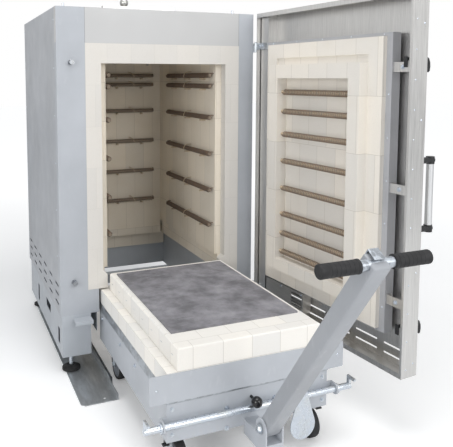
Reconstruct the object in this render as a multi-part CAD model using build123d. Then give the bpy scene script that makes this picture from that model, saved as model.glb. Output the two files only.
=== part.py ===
from build123d import *
import os

# Bogie-hearth chamber furnace. Millimetres, +Z up, floor at Z = 0.
# X = 0 is the centre line of the chamber, Y = 0 the front face of the cabinet, +Y runs into it.
# The door stands open and the hearth bogie is rolled out in front of the chamber.

# ---------------------------------------------------------------- driving dimensions
# cabinet
CAB_LEFT = -560.0
CAB_RIGHT = 508.0
CAB_HEIGHT = 1830.0
CAB_DEPTH = 1091.0
SHEET = 3.0
RETURN = 25.0
POST_DEPTH = 46.0
SLOT_LEN = 90.0
SLOT_WIDE = 12.0
SLOT_PITCH = 180.0
SLOT_ROW = 47.0
SLOT_FIRST_Y = 95.0
SLOT_FIRST_Z = 348.0
REAR_SLOT_DROP = 110.0

# base
RAIL_BOTTOM = 88.0
RAIL_TOP = 301.0
RAIL_WALL = 4.0
RAIL_INNER = 408.0
RAIL_STEP_IN = 6.0
RAIL_BACK_GAP = 35.0
# Y, lower and upper edge, and half length of each opening in a rail
RAIL_CUTS = ((97.0, 130.0, 212.0, 27.0), (407.0, 197.0, 243.0, 72.0), (747.0, 130.0, 229.0, 27.0))
BEARER_WALL = 5.0
WELL_HALF = 365.0
WELL_SHEET = 3.0
WELL_DROP = 120.0
WELL_INSET = 14.0
BEARER_GAP = 7.0
FOOT_R = 46.0
FOOT_PAD_H = 22.0
STEM_R = 10.0
FOOT_INSET = 52.0
FLOOR_PLATE = 4.0
FLOOR_PLATE_OUT = 534.0
FLOOR_PLATE_IN = 360.0
FLOOR_PLATE_FRONT = -331.0
FLOOR_PLATE_SHORT = 81.0
FLOOR_PLATE_BACK = CAB_DEPTH - FLOOR_PLATE_SHORT
LIP_HEIGHT = 26.0
CORNER_CUT = 18.0
ANCHOR_X = 420.0
ANCHOR_Y = 300.0
ANCHOR_R = 7.0
GUIDE_FRONT = -170.0
GUIDE_HEIGHT = 30.0
GUIDE_WIDE = 14.0

# lining
COLLAR_HALF = 420.0
COLLAR_PROUD = 2.0
COLLAR_DEPTH = 50.0
COLLAR_DROP = 172.0
COLLAR_TOP = CAB_HEIGHT - COLLAR_DROP
SILL_Z = 422.0
LEDGE_HALF = 319.0
LEDGE_TOP = 514.0
LEDGE_CHAMFER = 22.0
MOUTH_HALF = 341.0
LINTEL_BRICK = 98.0
MOUTH_TOP = COLLAR_TOP - LINTEL_BRICK
CHAMBER_HALF = 306.0
ROOF_RISE = 40.0
CHAMBER_TOP = MOUTH_TOP + ROOF_RISE
REAR_WALL_DEPTH = 161.0
CHAMBER_BACK = CAB_DEPTH - REAR_WALL_DEPTH
WALL_RECESS = 16.0
BRICK_LEFT = 150.0
BRICK_RIGHT = 114.0
BRICK_ROOF = 114.0
BRICK_REAR = 110.0
BOARD_GAP = 6.0
REAR_SILL_DEPTH = 82.0
REAR_SILL_Y = CAB_DEPTH - REAR_SILL_DEPTH
REAR_SILL_Z = 329.0
REAR_GAP = 6.0

# heating elements
COIL_R = 14.0
TUBE_R = 9.0
COIL_STAND = 22.0
COIL_FIT = 0.5
COIL_ROWS = (675.0, 870.0, 1071.0, 1272.0)
TOP_COIL_DROPS = (157.0, 98.0)
COIL_ROOM = 100.0
SIDE_COIL_Y0 = 70.0
SIDE_COIL_LEN = 660.0
REAR_COIL_LEN = 500.0
HOOKS_PER_COIL = 3
HOOK_R = 5.0
PROBE_X = 120.0
PROBE_Y = 640.0
PROBE_R = 7.0
PROBE_DIP = 35.0
PROBE_HEAD_R = 18.0
PROBE_HEAD_H = 24.0
DOOR_COIL_ROOM = 40.0
DOOR_COIL_ROWS = (600.0, 696.0, 796.0, 930.0, 1069.0, 1205.0, 1320.0, 1417.0)

# exhaust slide on the roof
FLUE_X = -75.0
FLUE_Y = 300.0
FLUE_R = 45.0
FLUE_WALL = 12.0
GUIDE_LEN = 397.0
GUIDE_DEPTH = 190.0
GUIDE_RISE = 36.0
SLIDE_THICK = 10.0
SLIDE_X0 = -190.0
SLIDE_LEN = 210.0
SLIDE_DEPTH = 130.0
SLIDE_FIT = 1.0
SLIDE_KNOB_R = 23.0
SLIDE_KNOB_X = -141.0
FLANGE_HOLE_X = 360.0
FLANGE_HOLE_Y = 165.0
FLANGE_HOLE_R = 4.5

# door, drawn shut and then swung open about its hinge
HINGE_X = 519.0
HINGE_Y = -14.0
DOOR_OPEN = 95.6
DOOR_LEFT = -547.0
DOOR_RIGHT = 500.0
DOOR_BOTTOM = 264.0
DOOR_RIM = 4.0
DOOR_THICK = 88.0
DOOR_LIP = 22.0
DOOR_SHEET = 2.5
PLUG_HALF = 318.0
PLUG_BOTTOM = 508.0
PLUG_GAP = 7.0
PLUG_TOP = MOUTH_TOP - PLUG_GAP
PLUG_PROUD = 48.0
BORDER_HALF = 398.0
BORDER_BOTTOM = 425.0
BORDER_FRONT = 6.0
BORDER_PROUD = 22.0
GROOVE = 8.0
GROOVE_INSET = 34.0
PAN_FLANGE = 30.0
PAN_SHEET = 3.0
PAN_DEPTH = 46.0
NICHE_HALF = 250.0
NICHE_BOTTOM = 566.0
NICHE_BORDER = 67.0
NICHE_TOP = PLUG_TOP - NICHE_BORDER
NICHE_DEPTH = 60.0
DOOR_COIL_R = 15.0
HINGE_DROP = 173.0
HINGE_LEVELS = (330.0, CAB_HEIGHT - HINGE_DROP)
PIN_R = 9.0
PIN_FIT = 0.05
KNUCKLE_R = 16.0
KNUCKLE_H = 34.0
GRIP_BOTTOM = 853.0
GRIP_TOP = 1167.0
GRIP_REACH = 93.0
GRIP_R = 15.0
HANDLE_X = -515.0
CLAMP_DROP = 267.0
CLAMP_LEVELS = (470.0, CAB_HEIGHT - CLAMP_DROP)
CLAMP_X = -505.0
CLAMP_BOSS_R = 20.0
CLAMP_BOSS_H = 16.0
CLAMP_ARM = 84.0
CLAMP_SPINDLE_R = 7.0
VENT_COUNT = 5
VENT_LEN = 130.0
VENT_PITCH = 170.0
STIFFENER_X = 430.0
BRACKET_DROP = 127.0
BRACKET_LEVELS = (560.0, 1034.0, COLLAR_TOP - BRACKET_DROP)
BRACKET_HALF = 20.0
LEAD_R = 3.0
LEAD_Y = -18.0
LEAD_Z0 = 440.0
LEAD_DROP = 270.0
LEAD_Z1 = CAB_HEIGHT - LEAD_DROP
CLIP_LEVELS = (872.0, 1111.0, 1345.0)
TERMINAL_BOX = (110.0, 424.0, 300.0, 404.0)
KEEPER_X = -490.0
KEEPER_R = 8.0
KEEPER_REACH = 30.0
KEEPER_HEAD = 6.0

# bogie
HEARTH_FRONT = -945.0
HEARTH_REAR = -17.0
HEARTH_STEP_REAR = 50.0
HEARTH_TOP = 500.0
HEARTH_STEP = 413.0
TRAY_TOP = 341.0
TRAY_BOTTOM = 295.0
HEARTH_HALF = 311.0
HEARTH_LOW_HALF = 352.0
PLATE_HALF = 286.0
PLATE_FRONT = -816.0
PLATE_REAR = -56.0
PLATE_THICK = 7.0
TRAY_SHEET = 3.0
FRAME_BOTTOM = 141.0
FRAME_PLATE = 5.0
PANEL_HALF = 422.0
PANEL_TOP = 410.0
PANEL_BOTTOM = 302.0
PANEL_THICK = 4.0
CHANNEL_TOP = 290.0
CHANNEL_FRONT = -938.0
CHANNEL_FLANGE = 55.0
CROSS = 60.0
MID_BEAM_Y = -500.0
REAR_WHEEL_X = 300.0
REAR_WHEEL_Y = -131.0
REAR_WHEEL_R = 75.0
CASTOR_X = 292.0
CASTOR_Y = -862.0
CASTOR_R = 62.5
CASTOR_TRAIL = 36.0
CASTOR_PLATE = 6.0
CASTOR_GAP = 1.0
CASTOR_CROWN = 4.0
PIN_HEAD = 4.0
RACE_R = 26.0
WHEEL_WIDE = 38.0
TYRE_THICK = 14.0
AXLE_R = 6.0
AXLE_FIT = 0.06
FORK_SHEET = 4.0
FORK_GAP = 4.0
STEM_PIN_R = 9.0
EDGE_CUT = 5.0
PANEL_CORNER = 6.0
SIDE_FLANGE = 45.0
BRAKE_Z = 96.0
CATCH_IN = 410.0
CATCH_OUT = 500.0
PLUNGER_X = 0.0
PLUNGER_REACH = 34.0
LOCK_Y = -962.0
LOCK_Z = 220.0
LOCK_R = 13.0
LOCK_FIT = 0.08
LOCK_HALF = 449.0
LUG_X = 372.0
LUG_THICK = 8.0
LUG_R = 22.0
PEDAL_X = 213.0
PEDAL_THICK = 4.0
PEDAL_R = 57.0
PEDAL_DROP = 113.0
HOOK_RISE = 44.0
HOOK_TOE = 40.0
HOOK_THICK = 10.0
CATCH_Z = 268.0
TILLER_Y = -1082.0
TILLER_Z = 210.0
TILLER_LEAN = 35.3
TILLER_LEN = 944.0
TILLER_TUBE = 60.0
TILLER_WALL = 4.0
TILLER_PIN_R = 8.0
TBAR_HALF = 187.0
TBAR_R = 16.0
HANDGRIP_R = 21.0
HANDGRIP_LEN = 130.0
EAR_THICK = 6.0
EAR_GAP = 1.5
EAR_R = 36.0
POST_FOOT = 96.0
POST_WALL = 5.0
PLUNGER_Y = -985.0
PLUNGER_Z = 252.0
BALL_R = 22.0
STEM_ROD_R = 6.0


# ---------------------------------------------------------------- shape helpers
def block(x0, x1, y0, y1, z0, z1):
    return Pos((x0 + x1) / 2, (y0 + y1) / 2, (z0 + z1) / 2) * Box(x1 - x0, y1 - y0, z1 - z0)


def rod(start, end, radius):
    run = Vector(*end) - Vector(*start)
    return Part(Solid.make_cylinder(radius, run.length, Plane(start, z_dir=run)).wrapped)


def tube(start, end, outer, inner):
    run = (Vector(*end) - Vector(*start)).normalized()
    a = Vector(*start) - run
    b = Vector(*end) + run
    return rod(start, end, outer) - rod((a.X, a.Y, a.Z), (b.X, b.Y, b.Z), inner)


def prism(points, plane, length):
    outline = plane * Polyline(*points, close=True)
    return extrude(make_face(outline), length, dir=plane.z_dir)


def along_x(points, x0, x1):
    return prism(points, Plane((x0, 0, 0), x_dir=(0, 1, 0), z_dir=(1, 0, 0)), x1 - x0)


def along_y(points, y0, y1):
    return prism(points, Plane((0, y1, 0), x_dir=(1, 0, 0), z_dir=(0, -1, 0)), y1 - y0)


def along_z(points, z0, z1):
    return prism(points, Plane((0, 0, z0)), z1 - z0)


def group(*pieces):
    return Compound([solid for piece in pieces for solid in piece.solids()])


def both_sides(piece):
    return group(piece, mirror(piece, about=Plane.YZ))


def swing(piece):
    """Turn a door piece from its shut place to the open one."""
    return Pos(HINGE_X, HINGE_Y, 0) * Rot(0, 0, DOOR_OPEN) * Pos(-HINGE_X, -HINGE_Y, 0) * piece


# ---------------------------------------------------------------- base
def rail(outer, inner, wall_sign):
    """Hollow base rail with lightening slots and a fork pocket in its outer wall."""
    x0, x1 = min(outer, inner), max(outer, inner)
    back = CAB_DEPTH - RAIL_BACK_GAP
    body = block(x0, x1, 0, back, RAIL_BOTTOM, RAIL_TOP)
    t = RAIL_WALL
    body -= block(x0 + t, x1 - t, t, back - t, RAIL_BOTTOM + t, RAIL_TOP - t)
    for y, z0, z1, half in RAIL_CUTS:
        cut = block(outer - 3 * t, outer + 3 * t, y - half, y + half, z0, z1)
        body -= cut
    bore_x = outer - wall_sign * FOOT_INSET
    for y in foot_rows():
        body -= rod((bore_x, y, RAIL_BOTTOM - t), (bore_x, y, RAIL_BOTTOM + 2 * t), STEM_R + 1)
    return body


def foot_rows():
    return (FOOT_INSET, CAB_DEPTH - RAIL_BACK_GAP - FOOT_INSET)


def foot_columns():
    return (CAB_LEFT + RAIL_STEP_IN + FOOT_INSET, CAB_RIGHT - RAIL_STEP_IN - FOOT_INSET)


def base_nodes():
    left_out = CAB_LEFT + RAIL_STEP_IN
    right_out = CAB_RIGHT - RAIL_STEP_IN
    back = CAB_DEPTH - RAIL_BACK_GAP
    bearer_in = WELL_HALF + WELL_SHEET + BEARER_GAP
    bearers = []
    for x0, x1 in ((left_out, -bearer_in), (bearer_in, right_out - 3)):
        outer = block(x0 + 3, x1, POST_DEPTH + 4, back, RAIL_TOP, SILL_Z - WELL_SHEET)
        t = BEARER_WALL
        hollow = block(x0 + 3 + t, x1 - t, POST_DEPTH, back + t, RAIL_TOP + t, SILL_Z - WELL_SHEET - t)
        bearers.append(outer - hollow)
    cross = block(-RAIL_INNER, RAIL_INNER, back - CROSS, back, RAIL_BOTTOM, RAIL_BOTTOM + CROSS)
    w = RAIL_WALL
    z0, z1 = RAIL_BOTTOM + w, RAIL_BOTTOM + CROSS - w
    cross -= block(-RAIL_INNER - 1, RAIL_INNER + 1, back - CROSS + w, back - w, z0, z1)
    pads, stems = [], []
    for x in foot_columns():
        for y in foot_rows():
            top = FLOOR_PLATE + FOOT_PAD_H
            dish = [(0, FLOOR_PLATE), (FOOT_R, FLOOR_PLATE), (FOOT_R, top - 12), (FOOT_R - 22, top), (0, top)]
            profile = make_face(Plane.XZ * Polyline(*dish, close=True))
            pads.append(Pos(x, y, 0) * revolve(profile, Axis.Z))
            nut = Pos(x, y, RAIL_BOTTOM - 9) * extrude(RegularPolygon(17, 6), 8)
            stems.append(rod((x, y, top), (x, y, RAIL_BOTTOM + 40), STEM_R) + nut)
    return {
        "base_rails": group(rail(left_out, -RAIL_INNER, -1), rail(right_out, RAIL_INNER, 1)),
        "base_frame": group(cross, *bearers),
        "foot_pads": group(*pads),
        "foot_stems": group(*stems),
    }


def floor_plate():
    """Right-hand floor plate, anchored to the floor, with an upturned inner lip."""
    y0, y1 = FLOOR_PLATE_FRONT, FLOOR_PLATE_BACK
    inner, outer = FLOOR_PLATE_IN, FLOOR_PLATE_OUT
    outline = [(inner, y0), (outer - CORNER_CUT, y0), (outer, y0 + CORNER_CUT), (outer, y1), (inner, y1)]
    sheet = along_z(outline, 0, FLOOR_PLATE)
    sheet += block(inner, inner + FLOOR_PLATE, y0, y1, 0, LIP_HEIGHT)
    for y in (-ANCHOR_Y, ANCHOR_Y):
        sheet -= rod((ANCHOR_X, y, -1), (ANCHOR_X, y, FLOOR_PLATE + 1), ANCHOR_R)
    return sheet


def guide_rail():
    """Right-hand U rail beside the lip, along which the bogie wheels are steered."""
    x1 = FLOOR_PLATE_IN
    x0 = x1 - GUIDE_WIDE
    t, top = SHEET, GUIDE_HEIGHT
    channel = [(x0, 0), (x1, 0), (x1, top), (x1 - t, top), (x1 - t, t), (x0 + t, t), (x0 + t, top), (x0, top)]
    return along_y(channel, GUIDE_FRONT, FLOOR_PLATE_BACK)


def floor_nodes():
    return {"floor_plates": both_sides(floor_plate()), "guide_rails": both_sides(guide_rail())}


# ---------------------------------------------------------------- casing
def fascia(edge, collar_edge, well_edge):
    """Front post of folded sheet; its foot widens to the edge of the bogie well."""
    x0, x1 = min(edge, collar_edge), max(edge, collar_edge)
    t = SHEET
    post = block(x0, x1, 0, POST_DEPTH, SILL_Z, CAB_HEIGHT)
    post -= block(x0 + t, x1 - t, t, POST_DEPTH + 1, SILL_Z + t, CAB_HEIGHT - t)
    f0, f1 = min(edge, well_edge), max(edge, well_edge)
    foot = block(f0, f1, 0, POST_DEPTH, RAIL_TOP, SILL_Z)
    foot -= block(f0 + t, f1 - t, t, POST_DEPTH + 1, RAIL_TOP + t, SILL_Z - t)
    return post + foot


def side_panel(x_out, sign):
    t = SHEET
    x_in = x_out - sign * t
    x0, x1 = min(x_out, x_in), max(x_out, x_in)
    y0, y1 = POST_DEPTH, CAB_DEPTH - t
    panel = block(x0, x1, y0, y1, RAIL_TOP, CAB_HEIGHT - t)
    flange_in = x_out - sign * RETURN
    f0, f1 = min(x_out, flange_in), max(x_out, flange_in)
    panel += block(f0, f1, y1 - t, y1, RAIL_TOP, CAB_HEIGHT - t)
    columns = int((CAB_DEPTH - SLOT_FIRST_Y - SLOT_LEN / 2) / SLOT_PITCH) + 1
    for column in range(columns):
        for row in range(3):
            y = SLOT_FIRST_Y + SLOT_PITCH * column
            z = SLOT_FIRST_Z + SLOT_ROW * row
            reach, rise = SLOT_LEN / 2, SLOT_WIDE / 2
            panel -= block(x_out - RETURN / 2, x_out + RETURN / 2, y - reach, y + reach, z - rise, z + rise)
    return panel


def casing_nodes():
    t = SHEET
    top = block(-COLLAR_HALF, COLLAR_HALF, 0, POST_DEPTH, COLLAR_TOP, CAB_HEIGHT)
    top -= block(-COLLAR_HALF + t, COLLAR_HALF - t, t, POST_DEPTH + 1, COLLAR_TOP + t, CAB_HEIGHT - t)
    shaft = FLUE_R + FLUE_WALL + 1
    roof = shaft_slab(CAB_LEFT, CAB_RIGHT, POST_DEPTH, CAB_DEPTH, CAB_HEIGHT - t, CAB_HEIGHT, shaft)
    rear = block(CAB_LEFT, CAB_RIGHT, CAB_DEPTH - t, CAB_DEPTH, RAIL_TOP, CAB_HEIGHT - t)
    for column in range(5):
        for z in (SLOT_FIRST_Z, SLOT_FIRST_Z + SLOT_ROW, CAB_HEIGHT - REAR_SLOT_DROP, CAB_HEIGHT - REAR_SLOT_DROP + SLOT_ROW):
            x = (CAB_LEFT + CAB_RIGHT) / 2 + SLOT_PITCH * (column - 2)
            reach, rise = SLOT_LEN / 2, SLOT_WIDE / 2
            rear -= block(x - reach, x + reach, CAB_DEPTH - RETURN / 2, CAB_DEPTH + 1, z - rise, z + rise)
    keepers = []
    for z in CLAMP_LEVELS:
        head = -KEEPER_REACH + KEEPER_HEAD
        stud = rod((KEEPER_X, head, z), (KEEPER_X, 0, z), KEEPER_R)
        keepers.append(stud + rod((KEEPER_X, -KEEPER_REACH, z), (KEEPER_X, head, z), KEEPER_R + 4))
    left_post = fascia(CAB_LEFT, -COLLAR_HALF, -WELL_HALF)
    right_post = fascia(CAB_RIGHT, COLLAR_HALF, WELL_HALF)
    return {
        "front_fascia": group(left_post, right_post, top),
        "side_panels": group(side_panel(CAB_LEFT, -1), side_panel(CAB_RIGHT, 1)),
        "roof_panel": group(*roof),
        "rear_panel": rear,
        "latch_keepers": group(*keepers),
    }


# ---------------------------------------------------------------- lining and heating
def probe_bore(z0, z1):
    return rod((PROBE_X, PROBE_Y, z0), (PROBE_X, PROBE_Y, z1), PROBE_R)


def shaft_slab(x0, x1, y0, y1, z0, z1, half):
    """Four slabs round the square shaft of the flue; the rear one is bored for the thermocouple."""
    fx0, fx1 = FLUE_X - half, FLUE_X + half
    fy0, fy1 = FLUE_Y - half, FLUE_Y + half
    return [
        block(x0, x1, y0, fy0, z0, z1),
        block(x0, fx0, fy0, fy1, z0, z1),
        block(fx1, x1, fy0, fy1, z0, z1),
        block(x0, x1, fy1, y1, z0, z1) - probe_bore(z0 - 1, z1 + 1),
    ]


def wall_brick(sign, thick):
    inner, low, outer = CHAMBER_HALF, CHAMBER_HALF + WALL_RECESS, CHAMBER_HALF + thick
    outline = [(low, SILL_Z), (low, LEDGE_TOP), (inner, LEDGE_TOP)]
    outline += [(inner, CHAMBER_TOP), (outer, CHAMBER_TOP), (outer, SILL_Z)]
    wall = along_y([(sign * x, z) for x, z in outline], COLLAR_DEPTH, CHAMBER_BACK + BRICK_REAR)
    return wall


def lining_nodes():
    c, m, g = COLLAR_HALF, MOUTH_HALF, LEDGE_HALF
    ledge = LEDGE_TOP - LEDGE_CHAMFER
    frame = [(-c, SILL_Z), (-c, COLLAR_TOP), (c, COLLAR_TOP), (c, SILL_Z), (g, SILL_Z), (g, ledge)]
    frame += [(m, LEDGE_TOP), (m, MOUTH_TOP), (-m, MOUTH_TOP), (-m, LEDGE_TOP), (-g, ledge), (-g, SILL_Z)]
    collar = along_y(frame, -COLLAR_PROUD, COLLAR_DEPTH)
    back = CHAMBER_BACK + BRICK_REAR
    left = -CHAMBER_HALF - BRICK_LEFT
    right = CHAMBER_HALF + BRICK_RIGHT
    roof_top = CHAMBER_TOP + BRICK_ROOF
    roof = shaft_slab(left, right, COLLAR_DEPTH, back, CHAMBER_TOP, roof_top, FLUE_R + FLUE_WALL)
    rear = block(-CHAMBER_HALF, CHAMBER_HALF, CHAMBER_BACK, back, REAR_SILL_Z + 99, CHAMBER_TOP)
    sill = block(-WELL_HALF + REAR_GAP, WELL_HALF - REAR_GAP, REAR_SILL_Y, back, REAR_SILL_Z, SILL_Z)
    out_l, out_r = CAB_LEFT + SHEET + BOARD_GAP * 2, CAB_RIGHT - SHEET - BOARD_GAP
    board_top = CAB_HEIGHT - SHEET - 12
    back_out = CAB_DEPTH - SHEET - BOARD_GAP
    boards = [
        block(out_l, left, COLLAR_DEPTH, back_out, SILL_Z, roof_top),
        block(right, out_r, COLLAR_DEPTH, back_out, SILL_Z, roof_top),
        block(left, right, back, back_out, SILL_Z, roof_top),
    ]
    boards += shaft_slab(out_l, out_r, COLLAR_DEPTH, back_out, roof_top, board_top, FLUE_R + FLUE_WALL)
    flue = tube((FLUE_X, FLUE_Y, CHAMBER_TOP), (FLUE_X, FLUE_Y, CAB_HEIGHT), FLUE_R + FLUE_WALL, FLUE_R)
    w, s = WELL_HALF, WELL_SHEET
    low, under = RAIL_TOP - WELL_DROP, SILL_Z - s
    right_out, left_out = CAB_RIGHT - WELL_INSET, CAB_LEFT + WELL_INSET
    angle = [(w, low), (w + s, low), (w + s, under), (right_out, under), (right_out, SILL_Z), (w, SILL_Z)]
    angle_l = [(-w, low), (-w - s, low), (-w - s, under), (left_out, under), (left_out, SILL_Z), (-w, SILL_Z)]
    y0 = COLLAR_DEPTH
    end = block(-w, w, back, back + s, low, SILL_Z)
    return {
        "collar_bricks": collar,
        "chamber_bricks": group(wall_brick(-1, BRICK_LEFT), wall_brick(1, BRICK_RIGHT), rear, sill, *roof),
        "insulation_boards": group(*boards),
        "well_lining": group(along_y(angle, y0, back), along_y(angle_l, y0, back), end),
        "flue_tube": flue,
    }


def element(start, end, radius, bore):
    """A wound heating coil and the ceramic tube that it hangs on."""
    return tube(start, end, radius, bore + COIL_FIT), rod(start, end, bore)


def coil_levels():
    """Two coils near the roof, and the rows under them that leave room."""
    upper = [CHAMBER_TOP - drop for drop in TOP_COIL_DROPS]
    return [z for z in COIL_ROWS if z < upper[0] - COIL_ROOM] + upper


def element_nodes():
    y1 = SIDE_COIL_Y0 + SIDE_COIL_LEN
    x = CHAMBER_HALF - COIL_STAND
    rear_y = CHAMBER_BACK - COIL_STAND
    half = REAR_COIL_LEN / 2
    lines = {
        "left": [((-x, SIDE_COIL_Y0, z), (-x, y1, z)) for z in coil_levels()],
        "right": [((x, SIDE_COIL_Y0, z), (x, y1, z)) for z in coil_levels()],
        "rear": [((-half, rear_y, z), (half, rear_y, z)) for z in coil_levels()],
    }
    coils, tubes, hooks = [], [], []
    for runs in lines.values():
        for a, b in runs:
            coil, carrier = element(a, b, COIL_R, TUBE_R)
            coils.append(coil)
            tubes.append(carrier)
    for z in coil_levels():
        seat = z - COIL_R - HOOK_R
        for n in range(HOOKS_PER_COIL):
            share = (n + 0.5) / HOOKS_PER_COIL
            y = SIDE_COIL_Y0 + SIDE_COIL_LEN * share
            for sign in (-1, 1):
                hooks.append(rod((sign * CHAMBER_HALF, y, seat), (sign * (x - COIL_R), y, seat), HOOK_R))
            hx = -half + REAR_COIL_LEN * share
            hooks.append(rod((hx, CHAMBER_BACK, seat), (hx, rear_y - COIL_R, seat), HOOK_R))
    sheath = rod((PROBE_X, PROBE_Y, CHAMBER_TOP - PROBE_DIP), (PROBE_X, PROBE_Y, CAB_HEIGHT), PROBE_R)
    head = rod((PROBE_X, PROBE_Y, CAB_HEIGHT), (PROBE_X, PROBE_Y, CAB_HEIGHT + PROBE_HEAD_H), PROBE_HEAD_R)
    return {
        "heating_coils": group(*coils),
        "element_tubes": group(*tubes),
        "element_hooks": group(*hooks),
        "thermocouple": sheath + head,
    }


# ---------------------------------------------------------------- exhaust slide
def exhaust_nodes():
    z0 = CAB_HEIGHT
    z1 = z0 + GUIDE_RISE
    x0, x1 = FLUE_X - GUIDE_LEN / 2, FLUE_X + GUIDE_LEN / 2
    y0, y1 = FLUE_Y - GUIDE_DEPTH / 2, FLUE_Y + GUIDE_DEPTH / 2
    pocket_y = SLIDE_DEPTH / 2 + SLIDE_FIT
    s0 = z1 - SLIDE_THICK - 2 * SLIDE_FIT
    rails = []
    for side, edge in ((-1, y0), (1, y1)):
        inner = FLUE_Y + side * pocket_y
        bar = block(x0, x1, min(edge, inner), max(edge, inner), z0, z1)
        for dx in (-FLANGE_HOLE_X / 2, FLANGE_HOLE_X / 2):
            px, py = FLUE_X + dx, FLUE_Y + side * FLANGE_HOLE_Y / 2
            bar -= rod((px, py, z0 - 1), (px, py, z1 + 1), FLANGE_HOLE_R)
        rails.append(bar)
    bed_y0, bed_y1 = FLUE_Y - pocket_y, FLUE_Y + pocket_y
    bed = [
        block(x0, FLUE_X - FLUE_R, bed_y0, bed_y1, z0, s0),
        block(FLUE_X + FLUE_R, x1, bed_y0, bed_y1, z0, s0),
        block(FLUE_X - FLUE_R, FLUE_X + FLUE_R, bed_y0, FLUE_Y - FLUE_R, z0, s0),
        block(FLUE_X - FLUE_R, FLUE_X + FLUE_R, FLUE_Y + FLUE_R, bed_y1, z0, s0),
    ]
    guide = group(*rails, *bed)
    half = SLIDE_DEPTH / 2
    under = s0 + SLIDE_FIT / 2
    top = under + SLIDE_THICK
    slide = block(SLIDE_X0, SLIDE_X0 + SLIDE_LEN, FLUE_Y - half, FLUE_Y + half, under, top)
    r = SLIDE_KNOB_R
    knob_y = FLUE_Y - half + r + 6
    knob = rod((SLIDE_KNOB_X, knob_y, top), (SLIDE_KNOB_X, knob_y, top + 12), r / 2)
    knob += Pos(SLIDE_KNOB_X, knob_y, top + 4 + r) * Sphere(r)
    return {"exhaust_guide": guide, "exhaust_slide": group(slide, knob)}


# ---------------------------------------------------------------- door
def door_shell():
    s, lip = DOOR_SHEET, DOOR_LIP
    rim, face = -DOOR_RIM, -DOOR_RIM - DOOR_THICK
    shell = block(DOOR_LEFT, DOOR_RIGHT, face, rim, DOOR_BOTTOM, CAB_HEIGHT)
    shell -= block(DOOR_LEFT + s, DOOR_RIGHT - s, face + s, rim + 1, DOOR_BOTTOM + s, CAB_HEIGHT - s)
    shell += block(DOOR_LEFT, DOOR_RIGHT, rim - s, rim, CAB_HEIGHT - lip, CAB_HEIGHT)
    shell += block(DOOR_LEFT, DOOR_RIGHT, rim - s, rim, DOOR_BOTTOM, DOOR_BOTTOM + lip)
    shell += block(DOOR_LEFT, DOOR_LEFT + lip / 2, rim - s, rim, DOOR_BOTTOM, CAB_HEIGHT)
    for z in (DOOR_BOTTOM + 31, DOOR_BOTTOM + 73):
        for n in range(VENT_COUNT):
            x = DOOR_LEFT + 45 + VENT_PITCH * n
            shell -= block(x, x + VENT_LEN, face - 1, face + s + 1, z - 4, z + 4)
    for z in CLAMP_LEVELS:
        shell -= rod((CLAMP_X, face - 1, z), (CLAMP_X, face + s + 1, z), CLAMP_SPINDLE_R + 1)
    for z in HINGE_LEVELS:
        notch = KNUCKLE_H / 2 + 2
        shell -= block(DOOR_RIGHT - 2 * s, DOOR_RIGHT + 1, HINGE_Y - 9, rim + 1, z - notch, z + notch)
    return shell


def door_lining():
    """Painted pan and the brick in it: a flat border with a plug that fills the chamber mouth."""
    front = -BORDER_FRONT
    flange_y = front - BORDER_PROUD
    back = flange_y - PAN_DEPTH
    half, edge = BORDER_HALF, BORDER_HALF + PAN_FLANGE
    low, high = BORDER_BOTTOM, COLLAR_TOP
    rise = PAN_FLANGE / 2
    pan = block(-edge, edge, back, flange_y, low - rise, high + rise)
    pan -= block(-half, half, back + PAN_SHEET, flange_y + 1, low, high)
    brick = block(-half, half, back + PAN_SHEET, front, low, high)
    brick -= block(-PLUG_HALF, PLUG_HALF, front - GROOVE, front + 1, PLUG_TOP, PLUG_TOP + GROOVE_INSET)
    brick += block(-PLUG_HALF, PLUG_HALF, front - GROOVE, front + PLUG_PROUD, PLUG_BOTTOM, PLUG_TOP)
    niche_back = front + PLUG_PROUD - NICHE_DEPTH
    brick -= block(-NICHE_HALF, NICHE_HALF, niche_back, front + PLUG_PROUD + 1, NICHE_BOTTOM, NICHE_TOP)
    coils, tubes = [], []
    y = niche_back + COIL_STAND + 3
    reach = NICHE_HALF - 12
    for z in [level for level in DOOR_COIL_ROWS if level < NICHE_TOP - DOOR_COIL_ROOM]:
        coil, carrier = element((-reach, y, z), (reach, y, z), DOOR_COIL_R, TUBE_R)
        coils.append(coil)
        tubes.append(rod((-NICHE_HALF, y, z), (NICHE_HALF, y, z), TUBE_R))
    return pan, brick, coils, tubes


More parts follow.
